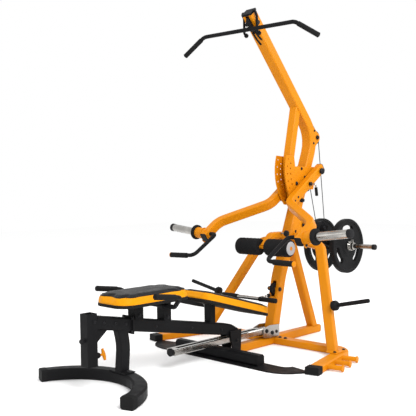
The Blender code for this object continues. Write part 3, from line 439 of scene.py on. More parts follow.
def make_tube_ends():
    plug(P(-0.300, 0, 0.025), (-1, 0, 0), 0.060, 0.049, (0, 1, 0), FRAME)
    plug(P(0.530, 0, 0.025), (1, 0, 0), 0.060, 0.049, (0, 1, 0), FRAME)
    forward = Vector((-0.490, 0.110, 0)).normalized()
    for label, side in SIDES:
        way = Vector((forward.x, side * forward.y, 0))
        tip = P(-0.415, side * 0.640, 0.0205)
        sweep(f"{label}_foot_sleeve",
              [tip - way * 0.052, tip - way * 0.050, tip + way * 0.001, tip + way * 0.004],
              box_section(0.0412, 0.0785, 0.002), (0, 0, 1), "black_rubber", FRAME)
    lathe("rail_plug", [(0.010, -0.004), (0.0215, -0.002), (0.0225, 0.002), (0.0225, 0.010), (0.018, 0.014)],
          P(-0.833, 0, 0.098), (-1, 0, 0), "pulley_nylon", FRAME)


def make_welds():
    """Beads where the tubes are joined."""
    for _, side in SIDES:
        y = side * 0.0305
        weld([P(0.262, y, 0.905), P(0.276, y, 0.940)], FRAME)
        weld([P(0.215, side * 0.0385, 0.635), P(0.262, side * 0.0385, 0.650), P(0.262, side * 0.0385, 0.694)],
             FRAME)
        weld([P(0.030, side * 0.0305, 0.0408), P(0.080, side * 0.0305, 0.0408)], FRAME)
        weld([P(0.448, side * 0.0305, 0.0508), P(0.500, side * 0.0305, 0.0508)], FRAME)
        weld([P(-0.497, side * 0.331, 0.0066), P(-0.433, side * 0.331, 0.0066)], FRAME,
             finish="black_powder_coat")
        weld([P(-1.104, side * 0.0305, 0.3905), P(-1.048, side * 0.0305, 0.3905)], FRAME,
             finish="black_powder_coat")


# ---------------------------------------------------------------- pulleys and cable
def touch(first, second):
    """Where a cable leaves one pulley and meets the next, each given as centre and signed radius."""
    (c1, s1), (c2, s2) = first, second
    gap = c2 - c1
    direction = (Matrix.Rotation(-math.asin((s2 - s1) / gap.length), 2) @ gap).normalized()
    left = Vector((-direction.y, direction.x))
    return c1 - left * s1, c2 - left * s2


def around(circle, start, end, steps):
    centre, signed = circle
    a = math.atan2(start.y - centre.y, start.x - centre.x)
    b = math.atan2(end.y - centre.y, end.x - centre.x)
    turn = (b - a) % (2 * math.pi) - (2 * math.pi if signed < 0 else 0)
    return [centre + Vector((math.cos(a + turn * i / steps), math.sin(a + turn * i / steps))) * abs(signed)
            for i in range(steps + 1)]


def make_cables():
    ring = lambda spec, way: (Vector(spec[:2]), way * spec[2])
    top, rear, lever, low = (ring(spec, -1) for spec in (TOP, REAR, LEVER, LOW))
    column = ring(COLUMN, 1)
    start = top[0] - Vector((TOP[2], 0))
    boom, a, b, down = touch(top, rear), touch(rear, lever), touch(lever, column), touch(column, low)
    leave = low[0] - Vector((0, LOW[2]))

    def line(name, points, body, node):
        path = [P(p.x, 0, p.y) for p in points]
        return take(sweep(name, path, round_section(CABLE_RADIUS, 12), (0, 1, 0), "cable_black", body), node)

    line("boom_cable", around(top, start, boom[0], 20) + around(rear, boom[1], a[0], 14), FRAME, "cable_boom")
    line("column_cable", around(column, b[1], down[0], 16) + around(low, down[1], leave, 14)
         + [leave + Vector((-0.050, 0))], FRAME, "cable_column")
    line("lever_cable", around(lever, a[1], b[0], 22), "weight_lever", "cable_loop")
    pivot = Vector(LEVER_PIVOT)
    runs = (("rear_cable_run", "cable_a", a), ("front_cable_run", "cable_b", (b[1], b[0])))
    for name, node, (fixed, moving) in runs:
        run = line(name, [fixed.lerp(moving, i / 12) for i in range(13)], FRAME, node)
        # the moving end goes round the lever's pivot; the way and length share along the chord of that arc
        # are kept
        lifted = pivot + Matrix.Rotation(math.radians(LEVER_LIFT), 2) @ (moving - pivot)
        chord = lifted - moving
        way = chord.normalized()
        keep = 1 + chord.length / (moving - fixed).dot(way)
        STRAIGHT_RUNS.append((run, Vector((way.x, 0, way.y)), P(fixed.x, 0, fixed.y), keep))
    hang = sweep("hanging_cable", [P(BAR_X, 0, start.y - 0.0004 - 0.0257 * i / 12) for i in range(13)],
                 round_section(CABLE_RADIUS, 12), (0, 1, 0), "cable_black", None)
    take(hang, "cable_bar")
    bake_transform(hang)



def make_pulleys():
    for name, (x, z, path_radius) in (("top_pulley", TOP), ("rear_pulley", REAR), ("lever_pulley", LEVER),
                                      ("column_pulley", COLUMN), ("low_pulley", LOW)):
        groove = path_radius - 0.0036
        rim, half, bore, hub = groove + 0.006, 0.011, 0.0088, 0.017
        profile = [(bore, -half), (hub, -half), (hub + 0.002, -half + 0.003), (rim - 0.008, -half + 0.003),
                   (rim - 0.005, -half), (rim - 0.001, -half), (rim, -half + 0.001), (rim, -half + 0.0025),
                   (groove + 0.001, -0.003), (groove, 0.0), (groove + 0.001, 0.003), (rim, half - 0.0025),
                   (rim, half - 0.001), (rim - 0.001, half), (rim - 0.005, half), (rim - 0.008, half - 0.003),
                   (hub + 0.002, half - 0.003), (hub, half), (bore, half)]
        take(lathe(name + "_wheel", profile, P(x, 0, z), (0, 1, 0), "pulley_nylon", name, 64, ring=True),
             name)
        for step in range(5):
            turn = 2 * math.pi * step / 5
            spoke = Vector((math.cos(turn), 0, math.sin(turn)))
            for side in (-1, 1):
                lathe(f"{name}_dimple_{step}_{'l' if side > 0 else 'r'}",
                      [(0.0035, 0), (0.0035, 0.0012), (0.0025, 0.0016)], P(x, side * (half - 0.0034), z)
                      + spoke * (hub + rim - 0.006) / 2, (0, side, 0), "bolt_black", name, 16)


# ---------------------------------------------------------------- weight lever, plates and collars
def make_plates():
    x, z = LEVER_HORN
    hub, half, edge = 0.058, 0.020, 0.190
    bore = 0.0254
    for label, side in SIDES:
        y = side * 0.1065
        face = [(bore, half), (hub - 0.018, half), (hub - 0.015, half - 0.002), (hub - 0.006, half - 0.002),
                (hub - 0.003, half), (hub, half - 0.001), (hub + 0.006, half - 0.0075), (0.100, half - 0.008),
                (edge - 0.030, half - 0.008), (edge - 0.024, half - 0.0065), (edge - 0.020, half - 0.001),
                (edge - 0.017, half), (edge - 0.006, half), (edge - 0.0015, half - 0.0015),
                (edge, half - 0.006)]
        profile = face + [(r, -a) for r, a in reversed(face)]
        disc = lathe(f"{label}_disc", profile, P(x, y, z), (0, 1, 0), "iron", "weight_lever", 96, ring=True)
        cutters = []
        for index in range(3):
            middle = 90.0 + 120.0 * index
            ends = [Vector((0.126 * math.cos(math.radians(middle + d)),
                            0.126 * math.sin(math.radians(middle + d)))) for d in (20.0, -20.0)]
            outline = (arc((0, 0), 0.146, middle - 20, middle + 20, 12)
                       + arc(ends[0], 0.020, middle + 20, middle + 200, 8)[1:-1]
                       + arc((0, 0), 0.106, middle + 20, middle - 20, 12)
                       + arc(ends[1], 0.020, middle + 160, middle + 340, 8)[1:-1])
            where = lambda p, q, end: P(x + p, y - 0.04 + 0.08 * end, z + q)
            cutter = prism(f"slot_{label}_{index}", outline, where, "iron", "weight_lever", 0)
            cut = disc.modifiers.new("slot", "BOOLEAN")
            cut.operation, cut.solver, cut.object = "DIFFERENCE", "EXACT", cutter
            cutters.append(cutter)
        bake(disc)
        for cutter in cutters:
            bpy.data.objects.remove(cutter)
        bevel = disc.modifiers.new("edges", "BEVEL")
        bevel.width, bevel.segments, bevel.limit_method = 0.0022, 3, "ANGLE"
        bevel.angle_limit = math.radians(50)
        take(disc, f"{label}_weight_plate")
        lathe(f"{label}_bush", [(bore - 0.0002, -half - 0.0006), (bore + 0.006, -half - 0.0006),
                                (bore + 0.006, half + 0.0006), (bore - 0.0002, half + 0.0006)],
              P(x, y, z), (0, 1, 0), "chrome", "weight_lever", 48, ring=True)
        make_collar(label, side)
        horn = lathe(f"{label}_lever_horn",
                     [(0.020, 0.0), (0.025, 0.0), (0.025, 0.010), (0.038, 0.0105), (0.0385, 0.018),
                      (0.026, 0.020), (0.025, 0.022), (0.025, 0.1015), (0.022, 0.104), (0.017, 0.1045),
                      (0.017, 0.269)], P(x, side * 0.0655, z), (0, side, 0), "chrome", "weight_lever", 48)
        if side > 0:
            take(horn, "lever_horns")
        end_cap(label + "_lever_horn_cap", P(x, side * 0.334, z), Vector((0, side, 0)), "weight_lever", 0.72)
        button(P(0.555, side * 0.0252, 0.622), (0, side, 0), "weight_lever", 0.009)
        button(P(0.700, side * 0.0252, 0.598), (0, side, 0), "weight_lever", 0.009)
    lathe("lever_cross_tube", [(0.030, -0.060), (0.032, -0.058), (0.032, 0.058), (0.030, 0.060)], P(x, 0, z),
          (0, 1, 0), "black_powder_coat", "weight_lever", 48)


def bake(obj):
    """Applies the modifiers to the mesh."""
    graph = bpy.context.evaluated_depsgraph_get()
    graph.update()
    made = bpy.data.meshes.new_from_object(obj.evaluated_get(graph))
    obj.modifiers.clear()
    obj.data = made


def end_cap(name, at, axis, body, size=1.0):
    """The black plastic cap on a chromed horn."""
    profile = [(0.020, -0.020), (0.0262, -0.019), (0.0266, -0.001), (0.0245, 0.003), (0.014, 0.0045)]
    lathe(name, [(r * size, a) for r, a in profile], at, axis, "pulley_nylon", body)


def make_collar(label, side):
    """A coil-spring collar with two squeeze handles."""
    x, z = LEVER_HORN
    begin = 0.1275
    turns, steps = 4, 28
    path = []
    for i in range(turns * steps + 1):
        t = 2 * math.pi * i / steps
        path.append(P(x + COLLAR_RADIUS * math.cos(t + 1.2), side * (begin + 0.0036 + i / steps * 0.0056),
                      z + COLLAR_RADIUS * math.sin(t + 1.2)))
    coil = sweep(f"{label}_spring_collar", path, round_section(COLLAR_WIRE, 10), (0, 1, 0), "chrome",
                 "weight_lever")
    take(coil, f"{label}_collar")
    for index, point in enumerate((path[0], path[-1])):
        turn = math.radians(52 + 52 * index)
        far = point + Vector((math.cos(turn), 0, math.sin(turn))) * 0.046
        sweep(f"{label}_collar_wire_{index}", [point, far], round_section(COLLAR_WIRE, 10), (0, 1, 0),
              "chrome", "weight_lever")
        lathe(f"{label}_collar_grip_{index}",
              [(0.0046, -0.026), (0.0055, -0.024), (0.0058, 0.0), (0.0045, 0.003)], far, far - point,
              "black_rubber", "weight_lever", 16)


# ---------------------------------------------------------------- press arms
def make_arm_parts():
    run = (ARM_END - ARM_PIVOT).normalized()
    tilt = math.radians(6.5)
    for label, side in SIDES:
        body = f"{label}_arm"
        front = ARM_END
        plug(P(front.x, side * ARM_Y, front.y), (run.x, 0, run.y), 0.060, 0.050, (-run.y, 0, run.x), body,
             0.005)
        back = ARM_PIVOT - run * 0.042
        plug(P(back.x, side * 0.078, back.y), (-run.x, 0, -run.y), 0.060, 0.050, (-run.y, 0, run.x), body,
             0.007)
        axis = Vector((0, side * math.cos(tilt), math.sin(tilt)))
        seat = P(-0.147, side * ARM_Y, 0.696)
        root = seat + axis * 0.0884
        horn = lathe(f"{label}_press_horn", [(0.020, 0.0), (0.025, 0.001), (0.025, 0.245), (0.0225, 0.2495)],
                     root, axis, "chrome", body)
        take(horn, f"{label}_arm_horn")
        take(lathe(f"{label}_stop_disc",
                   [(0.0256, 0.0), (0.045, 0.0), (0.048, 0.002), (0.049, 0.006), (0.049, 0.016),
                    (0.047, 0.0205), (0.044, 0.022), (0.0256, 0.022)], root, axis, "black_rubber", body,
                   ring=True), f"{label}_arm_bumper")
        end_cap(label + "_press_horn_cap", root + axis * 0.2485, axis, body)
        outline = [(-0.012, 0.018), (0.052, 0.018), (0.030, -0.022), (0.004, -0.036), (-0.014, -0.024)]
        shape = lambda a, b, end: P(-0.150 + a, side * (0.4106 + 0.006 * end), 0.676 + b)
        prism(f"{label}_gusset", outline, shape, "yellow_powder_coat", body)
        for a, b in ((0.004, -0.018), (0.032, 0.002)):
            bolt(P(-0.150 + a, side * 0.4168, 0.676 + b), (0, side, 0), body, 0.0078)
        face, grip_y = side * 0.3575, side * 0.295
        path = curved([P(-0.152, face, 0.700), P(-0.158, grip_y, 0.700), P(-0.362, grip_y, 0.578),
                       P(-0.368, side * 0.500, 0.572)], (0.030, 0.038), 10)
        handle = sweep(f"{label}_press_handle", path, round_section(0.0125, 24), (0.5, 0.2, 0.84),
                       "black_powder_coat", body)
        take(handle, f"{label}_handle")
        grip = [P(-0.3655 - 0.0030 * t, side * (0.352 + 0.142 * t), 0.5748 - 0.0030 * t)
                for t in [i / 48 for i in range(49)]]
        sweep(f"{label}_press_grip", grip, round_section(0.0162, 28), (0, 0, 1), "black_rubber", body,
              scales=ribbed(49, 0.035))
        lathe(f"{label}_grip_plug", [(0.010, -0.002), (0.0165, 0.0), (0.0165, 0.004), (0.012, 0.007)],
              grip[-1], grip[-1] - grip[0], "yellow_powder_coat", body)
        lathe(f"{label}_handle_foot", [(0.014, 0.0), (0.024, 0.0), (0.024, 0.004), (0.015, 0.007)],
              P(-0.152, face, 0.700), (0, -side, 0), "yellow_powder_coat", body)
        weld([P(-0.147 + 0.038 * math.cos(t), side * 0.4108, 0.6995 + 0.038 * math.sin(t))
              for t in [2 * math.pi * i / 24 for i in range(25)]], body, 0.0024)
        spot = ARM_PIVOT + run * 0.150
        pin_body = f"{label}_pull_pin"
        knee = [P(spot.x, side * 0.0387, spot.y), P(spot.x, side * 0.150, spot.y),
                P(spot.x + 0.012, side * 0.150, spot.y - 0.075)]
        take(sweep(f"{label}_lock_pin", curved(knee, 0.014, 8), round_section(0.0055, 18), (0.987, 0, 0.16),
                   "chrome", pin_body), pin_body)
        low = knee[2]
        way = (knee[2] - knee[1]).normalized()
        core = [low - way * (0.052 - 0.056 * i / 40) for i in range(41)]
        sweep(f"{label}_lock_grip", core, round_section(0.0098, 20), (0.987, 0, 0.16), "black_rubber",
              pin_body,
              scales=[(0.80 if i in (0, 40) else 1.0) + 0.07 * math.sin(i * 1.57) for i in range(41)])
        outer = side * 0.1035
        lathe(f"{label}_pin_sleeve",
              [(0.0062, 0.0), (0.0125, 0.0), (0.0125, 0.016), (0.0105, 0.018), (0.0062, 0.018)],
              P(spot.x, outer, spot.y), (0, side, 0), "bolt_black", body, 28, ring=True)
        for share in (0.30, 0.34):
            along = ARM_PIVOT + run * share
            button(P(along.x, side * 0.1032, along.y), (0, side, 0), body, 0.007)
    take(lathe("arm_axle", [(0.0105, -0.112), (0.0125, -0.110), (0.0125, 0.110), (0.0105, 0.112)],
               P(ARM_PIVOT.x, 0, ARM_PIVOT.y), (0, 1, 0), "chrome", FRAME), "arm_shaft")
    angle = math.radians(222.8)
    rest = P(ARM_PIVOT.x + 0.281 * math.cos(angle), 0, ARM_PIVOT.y + 0.281 * math.sin(angle))
    take(lathe("rest_pin", [(0.0040, -0.092), (0.0056, -0.090), (0.0056, 0.090), (0.0040, 0.092)], rest,
               (0, 1, 0), "chrome", FRAME), "selector_pin")
    lathe("rest_pin_knob", [(0.006, 0.0), (0.013, 0.001), (0.0135, 0.014), (0.010, 0.024), (0.004, 0.026)],
          rest + Vector((0, -0.091, 0)), (0, -1, 0), "pulley_nylon", FRAME, 32)


# ---------------------------------------------------------------- thigh rollers, bar and row handle
def make_rollers():
    x, z = -0.025, 0.620
    inner, outer, radius = 0.030, 0.208, 0.054
    length = outer - inner
    for label, side in SIDES:
        rim = [(radius - 0.012 + 0.012 * math.sin(t), 0.012 - 0.012 * math.cos(t))
               for t in [math.pi / 2 * i / 6 for i in range(7)]]
        body_line = [(radius + 0.0006 * math.sin(i * 1.3), 0.012 + (length - 0.024) * i / 24)
                     for i in range(25)]
        far = [(r, length - a) for r, a in reversed(rim)]
        foam = lathe(f"{label}_foam", [(0.0140, 0.0)] + rim + body_line + far + [(0.0140, length)],
                     P(x, side * inner, z), (0, side, 0), "foam", f"{label}_roller", 56, ring=True)
        take(foam, f"{label}_thigh_roller")
        lathe(f"{label}_foam_disc",
              [(0.006, 0.0), (0.040, 0.0), (0.042, 0.002), (0.040, 0.004), (0.018, 0.0055), (0.006, 0.0055)],
              P(x, side * (outer + 0.0002), z), (0, side, 0), "grey_plastic", f"{label}_roller", 48)
    sweep("roller_knob_stem", [P(0.115, -0.026, 0.700), P(0.115, -0.060, 0.700)], round_section(0.006, 16),
          (0, 0, 1), "chrome", FRAME)
    lathe("roller_knob", [(0.010, 0.0), (0.019, 0.002), (0.021, 0.008), (0.018, 0.020), (0.010, 0.026)],
          P(0.115, -0.058, 0.700), (0, -1, 0), "pulley_nylon", FRAME, 32)


def make_lat_bar():
    ends = [P(BAR_X - math.sin(BAR_TURN) * along, math.cos(BAR_TURN) * along, z) for along, z in
            ((-0.472, BAR_Z - 0.100), (-0.323, BAR_Z), (0.323, BAR_Z), (0.472, BAR_Z - 0.100))]
    take(sweep("pulldown_bar", curved(ends, 0.070, 12), round_section(0.0125, 28), (1, 0, 0),
               "black_powder_coat", "lat_bar"), "lat_bar")
    for label, side in SIDES:
        near, tip = (ends[2], ends[3]) if side > 0 else (ends[1], ends[0])
        way = (tip - near).normalized()
        path = [tip - way * (0.150 - 0.150 * i / 54) for i in range(55)]
        sweep(f"{label}_bar_grip", path, round_section(0.0152, 28), (1, 0, 0), "black_rubber", "lat_bar",
              scales=ribbed(55))
        lathe(f"{label}_bar_cap", [(0.012, -0.002), (0.0160, 0.0), (0.0160, 0.003), (0.012, 0.006)], tip, way,
              "black_rubber", "lat_bar", 28)
    lug = [(0.006, 0.009), (0.004, 0.015), (0.0, 0.0175), (-0.006, 0.015), (-0.009, 0.009)]
    prism("bar_lug", lug, lambda a, b, end: P(BAR_X + a, 0.003 * (2 * end - 1), BAR_Z + b), "chrome",
          "lat_bar")
    eye = [P(BAR_X + 0.0001, 0.0042 * math.sin(t), BAR_Z + 0.0165 + 0.0046 * math.cos(t))
           for t in [2 * math.pi * i / 24 for i in range(24)]]
    sweep("bar_link", eye, round_section(0.0014, 10), (1, 0, 0), "chrome", "lat_bar", closed=True)


def make_row_handle():
    ball = P(LOW[0] - 0.050 - 0.0004, 0, LOW[1] - LOW[2])
    take(lathe("row_ball_stop",
               [(0.004, 0.0), (0.009, 0.002), (0.0125, 0.006), (0.013, 0.010), (0.0125, 0.014),
                (0.009, 0.018), (0.004, 0.020)], ball, (-1, 0, 0), "cable_black", "row_handle", 28),
         "cable_stop")
    first = ball + Vector((-0.022, 0, 0))
    last = first + Vector((-0.150, 0, -0.002))
    count = 7
    pitch = (last - first) / count
    for index in range(count):
        middle = first + pitch * (index + 0.5)
        side_way = Vector((0, 1, 0)) if index % 2 else Vector((0, 0, 1))
        way = pitch.normalized()
        long_half, half = pitch.length * 0.62 - 0.0045, 0.0045
        path = [middle + way * (math.copysign(long_half, math.cos(t)) + half * math.cos(t))
                + side_way * half * math.sin(t) for t in [2 * math.pi * (i + 0.5) / 20 for i in range(20)]]
        link = sweep(f"row_link_{index}", path, round_section(0.0021, 10), way.cross(side_way), "chrome",
                     "row_handle", closed=True)
        if not index:
            take(link, "row_chain")
    grip = last + Vector((-0.030, 0, 0.0130))
    bar = sweep("row_bar", [grip + Vector((0, y, 0)) for y in (-0.213, 0.213)], round_section(0.0115, 28),
                (0, 0, 1), "chrome", "row_handle")
    take(bar, "row_handle")
    for label, side in SIDES:
        path = [grip + Vector((0, side * (0.088 + 0.125 * i / 44), 0)) for i in range(45)]
        sweep(f"{label}_row_grip", path, round_section(0.0146, 28), (0, 0, 1), "black_rubber", "row_handle",
              scales=ribbed(45))
        lathe(f"{label}_row_cap", [(0.010, -0.001), (0.0150, 0.0), (0.0150, 0.0025), (0.011, 0.004)],
              path[-1], (0, side, 0), "black_rubber", "row_handle", 28)
    sweep("row_tab", [last + Vector((0.004, 0, 0)), grip], box_section(0.018, 0.010, 0.003), (0, 1, 0),
          "chrome", "row_handle", edge=0.0008)


# ---------------------------------------------------------------- storage pegs, knob and bench trim
def beam_z(x):
    """Height of the sloping bench beam's middle line."""
    return 0.297 - (x + 1.125) * 0.1908


def make_small_parts():
    for label, side in SIDES:
        start, end = P(0.047, side * 0.462, 0.286), P(0.030, side * 0.717, 0.345)
        length = (end - start).length
        take(lathe(f"{label}_peg",
                   [(0.024, 0.0), (0.029, 0.002), (0.030, 0.006), (0.030, 0.024), (0.027, 0.029),
                    (0.020, 0.034), (0.0135, 0.040), (0.0125, 0.044), (0.0125, length - 0.006),
                    (0.0115, length - 0.002), (0.008, length)], start, end - start, "black_powder_coat",
                   FRAME), f"{label}_storage_peg")
    at = P(-1.372 + 0.0304, 0, 0.170)
    knob = lathe("post_knob", [(0.012, 0.0), (0.0145, 0.002), (0.0150, 0.008), (0.012, 0.022), (0.009, 0.031),
                               (0.006, 0.035), (0.006, 0.054)], at, (1, 0, 0), "yellow_powder_coat", "t_knob",
                 36)
    take(knob, "t_knob")
    bar = [at + Vector((0.056, -0.011 + 0.022 * i / 20, -0.027 + 0.054 * i / 20)) for i in range(21)]
    lathe("post_knob_boot", [(0.013, 0.0), (0.0165, 0.001), (0.0172, 0.006), (0.0155, 0.010), (0.0168, 0.015),
                             (0.0140, 0.020), (0.0145, 0.025), (0.0105, 0.031)], at, (1, 0, 0),
          "black_rubber", "t_knob", 36)
    lathe("post_peg", [(0.008, 0.0), (0.008, 0.010), (0.011, 0.011), (0.011, 0.020), (0.008, 0.023)],
          P(-1.4022, 0, 0.255), (-1, 0, 0), "pulley_nylon", FRAME, 28)
    sweep("post_knob_bar", bar, round_section(0.0098, 20), (1, 0, 0), "yellow_powder_coat", "t_knob",
          scales=[0.55 + 0.45 * math.sin(math.pi * min(max(i / 20, 0.12), 0.88)) for i in range(21)])
    for side in (-1, 1):
        y = side * 0.0307
        bolt(P(-1.360, y, 0.346), (0, side, 0), FRAME, 0.008)
        for x in (-1.300, -1.230, -1.162):
            button(P(x, side * 0.0306, beam_z(x) + 0.004), (0, side, 0), FRAME, 0.008)
        for x in (-1.075, -0.878):
            bolt(P(x, side * 0.0306, beam_z(x) + 0.052), (0, side, 0), FRAME, 0.0085)
        for z in (0.263, 0.330):
            bolt(P(-1.1290, side * 0.036, z), (-1, 0, 0), FRAME, 0.006)
        for x in (-0.960, -0.700, -0.460):
            button(P(x, side * 0.0302, beam_z(x)), (0, side, 0), FRAME, 0.007)
        bolt(P(-1.172, side * 0.047, 0.0664), (0, 0, 1), FRAME, 0.008)
        angle = math.radians(FOOT_SPREAD) * side
        tip = P(FOOT_X + FOOT_RADIUS * math.cos(angle), FOOT_RADIUS * math.sin(angle), 0.030)
        way = Vector((-math.sin(angle), math.cos(angle), 0)) * side
        sweep(f"foot_boot_{'l' if side > 0 else 'r'}",
              [tip - way * 0.030, tip + way * 0.0006, tip + way * 0.004], box_section(0.0625, 0.0745, 0.009),
              (0, 0, 1), "black_rubber", FRAME, scales=[1.0, 1.0, 0.95])
    base = lambda a, b, end: P(-1.172 + a, b, 0.0602 + 0.006 * end)
    prism("leg_base_plate", [(-0.034, -0.066), (0.034, -0.066), (0.034, 0.066), (-0.034, 0.066)], base,
          "black_powder_coat", FRAME)
    for label, side in SIDES:
        path = [P(-1.149 + 0.140 * i / 44, side * 0.240, 0.4639 - 0.0192 * i / 44) for i in range(45)]
        sweep(f"{label}_grab_grip", path, round_section(0.0150, 24), (0, 0, 1), "black_rubber", FRAME,
              scales=[(0.86 if i in (0, 44) else 1.0) + 0.025 * math.sin(i * 2.0) for i in range(45)])


# ---------------------------------------------------------------- padded pieces
def pad_outline(low, high, half, corner, steps=10):
    outline = []
    for cx, cy, start in ((high - corner, half - corner, 0), (low + corner, half - corner, 90),
                          (low + corner, corner - half, 180), (high - corner, corner - half, 270)):
        outline += arc((cx, cy), corner, start, start + 90, steps)
    return outline


def make_pad(name, node, body, low, high, half, corner, z_low, z_high, tilt, hinge, most):
    """A foam cushion in vinyl: black top, yellow side band, piping at the seams, on a dark board.

    The foam swells by no more than the distance most."""
    pivot = P(hinge[0], 0, hinge[1])
    turn = Matrix.Translation(pivot) @ Matrix.Rotation(tilt, 4, "Y") @ Matrix.Translation(-pivot)
    board_top = z_low + 0.012
    inset = 0.006
    mesh_data = bmesh.new()
    levels = ((board_top, 0.0), (board_top + 0.006, 0.0), (z_high - 0.014, 0.0), (z_high - 0.0065, 0.006))
    rings = []
    for z, pull in levels:
        shrink = pad_outline(low + inset + pull, high - inset - pull, half - inset - pull,
                             corner - inset * 0.5 - pull * 0.5)
        rings.append([mesh_data.verts.new(P(x, y, z)) for x, y in shrink])
    join_rings(mesh_data, rings)
    mesh_data.faces.new(rings[0])
    mesh_data.faces.new(rings[-1])
    pad = add(name, mesh_data, "black_vinyl", None)
    remesh = pad.modifiers.new("even", "REMESH")
    remesh.mode, remesh.voxel_size = "VOXEL", 0.0055
    bake(pad)
    rest = [v.co.copy() for v in pad.data.vertices]
    held = pad.vertex_groups.new(name="held")
    held.add([i for i, co in enumerate(rest) if co.z < board_top + 0.004], 1.0, "REPLACE")
    cloth = pad.modifiers.new("foam", "CLOTH")
    cloth.settings.vertex_group_mass = "held"
    cloth.settings.use_pressure = True
    cloth.settings.uniform_pressure_force = 4.0
    cloth.settings.tension_stiffness = cloth.settings.compression_stiffness = 22.0
    cloth.settings.bending_stiffness = 1.2
    cloth.settings.quality = 5
    cloth.settings.effector_weights.gravity = 0.0
    cloth.collision_settings.use_collision = False
    cloth.point_cache.frame_start, cloth.point_cache.frame_end = 1, CLOTH_FRAMES
    scene = bpy.context.scene
    for step in range(1, CLOTH_FRAMES + 1):
        scene.frame_set(step)
    graph = bpy.context.evaluated_depsgraph_get()
    moved = [v.co.copy() for v in pad.evaluated_get(graph).data.vertices]
    pad.modifiers.clear()
    scene.frame_set(1)
    crown_x, crown_y = (high - low) / 2, half
    middle = P((low + high) / 2, 0, 0)
    for vertex, before, after in zip(pad.data.vertices, rest, moved):
        step = after - before
        if step.length > most:
            step *= most / step.length
        vertex.co = before + step
        if before.z > z_high - 0.020:
            u, w = (before.x - middle.x) / crown_x, before.y / crown_y
            vertex.co.z += 0.0035 * max(0.0, 1 - u * u) * max(0.0, 1 - w * w)
    ceiling = z_high + 0.009
    for vertex in pad.data.vertices:
        vertex.co.z = min(vertex.co.z, ceiling)
    smooth = pad.modifiers.new("settle", "SMOOTH")
    smooth.factor, smooth.iterations = 0.5, 6
    bake(pad)
    seam = z_high - 0.0085
    pad.data.materials.append(MATS["yellow_vinyl"])
    for polygon in pad.data.polygons:
        polygon.material_index = 0 if polygon.center.z > seam and polygon.normal.z > 0.6 else 1
        polygon.use_smooth = True
    tree = BVHTree.FromPolygons([v.co for v in pad.data.vertices], [p.vertices for p in pad.data.polygons])
    for label, z, radius in (("top", seam, 0.0032), ("low", board_top + 0.002, 0.0024)):
        loop = []
        for x, y in pad_outline(low - 0.03, high + 0.03, half + 0.03, corner + 0.03, 14):
            origin = P(x, y, z)
            inward = Vector((min(max(x, low + corner), high - corner) + OX,
                             min(max(y, corner - half), half - corner), z)) - origin
            hit, _, _, _ = tree.ray_cast(origin, inward.normalized())
            loop.append(hit if hit is not None else P(x, y, z))
        dense = []
        for first, second in zip(loop, loop[1:] + loop[:1]):
            steps = max(1, int((second - first).length / 0.014))
            for s in range(steps):
                point = first.lerp(second, s / steps)
                inward = Vector((middle.x, 0, point.z)) - point
                out = point - inward.normalized() * 0.05
                hit, _, _, _ = tree.ray_cast(out, inward.normalized())
                dense.append(hit if hit is not None else point)
        cord_piece = sweep(f"{name}_piping_{label}", dense, round_section(radius, 12), (0, 0, 1),
                           "black_vinyl", None, closed=True)
        cord_piece.data.transform(turn)
        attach(cord_piece, body)
    pad.data.transform(turn)
    subdivide = pad.modifiers.new("round", "SUBSURF")
    subdivide.levels = subdivide.render_levels = 1
    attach(pad, body)
    take(pad, node)
    flat = pad_outline(low + 0.004, high - 0.004, half - 0.004, corner)
    board = prism(f"{name}_board", flat, lambda a, b, end: P(a, b, z_low + 0.0125 * end), "board", None,
                  0.0015)
    board.data.transform(turn)
    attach(board, body)


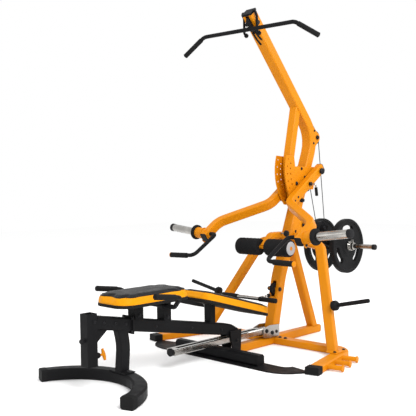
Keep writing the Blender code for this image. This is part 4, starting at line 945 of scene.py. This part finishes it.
# ---------------------------------------------------------------- camera, floor and light
def make_camera():
    yaw, pitch, roll = math.radians(44.695), math.radians(-1.306), math.radians(-0.992)
    right = Vector((math.sin(yaw), -math.cos(yaw), 0))
    level = Vector((math.cos(yaw), math.sin(yaw), 0))
    ahead = level * math.cos(pitch) + Z_UP * math.sin(pitch)
    up = -level * math.sin(pitch) + Z_UP * math.cos(pitch)
    across = right * math.cos(roll) + up * math.sin(roll)
    upward = -right * math.sin(roll) + up * math.cos(roll)
    data = bpy.data.cameras.new("camera")
    data.sensor_width, data.lens = 36.0, 58.37
    camera = bpy.data.objects.new("camera", data)
    bpy.context.scene.collection.objects.link(camera)
    turn = Matrix((across, upward, -ahead)).transposed().to_4x4()
    camera.matrix_world = Matrix.Translation((-3.0456, -2.744, 0.970)) @ turn
    bpy.context.scene.camera = camera


def make_studio():
    mesh_data = bmesh.new()
    bmesh.ops.create_grid(mesh_data, x_segments=1, y_segments=1, size=14.0)
    mesh = bpy.data.meshes.new("floor")
    mesh_data.to_mesh(mesh)
    mesh_data.free()
    floor = bpy.data.objects.new("floor", mesh)
    floor.location.z = -0.0006
    bpy.context.scene.collection.objects.link(floor)
    mesh.materials.append(surface("floor_white", (0.985, 0.985, 0.985), (0.975, 0.975, 0.975), 0.9, 0.01, 60,
                              shine=0.0))
    world = bpy.data.worlds.new("studio")
    world.use_nodes = True
    world.node_tree.nodes["Background"].inputs["Color"].default_value = (1.0, 1.0, 1.0, 1.0)
    world.node_tree.nodes["Background"].inputs["Strength"].default_value = 1.0
    bpy.context.scene.world = world
    bpy.context.scene.view_settings.view_transform = "Standard"
    for name, spot, size, power in (("key", (-1.6, -3.9, 4.0), 2.2, 200.0),
            ("fill", (-4.2, 1.6, 2.6), 2.6, 22.0), ("rim", (3.2, -1.2, 3.6), 1.8, 60.0)):
        data = bpy.data.lights.new(name, "AREA")
        data.size, data.energy = size, power
        lamp = bpy.data.objects.new(name, data)
        bpy.context.scene.collection.objects.link(lamp)
        lamp.location = spot
        lamp.rotation_euler = (Vector((0, 0, 0.9)) - Vector(spot)).to_track_quat("-Z", "Y").to_euler()


# ---------------------------------------------------------------- assembly
make_camera()
make_studio()
make_boom_end()
make_bolts()
make_tube_ends()
make_welds()
make_pulleys()
make_cables()
make_plates()
make_arm_parts()
make_rollers()
make_lat_bar()
make_row_handle()
make_small_parts()
make_pad("back_pad", "rear_pad", "backrest", -1.262, -0.775, 0.140, 0.085, 0.4005, 0.462, 0.0,
         (-0.775, 0.395), 0.010)
make_pad("seat_pad", "front_pad", FRAME, -0.675, -0.095, 0.135, 0.060, 0.372, 0.436, math.radians(16.0),
         (-0.700, 0.368), 0.008)
dress_nodes()
for run_piece, way, fixed_end, keep in STRAIGHT_RUNS:
    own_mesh(run_piece)
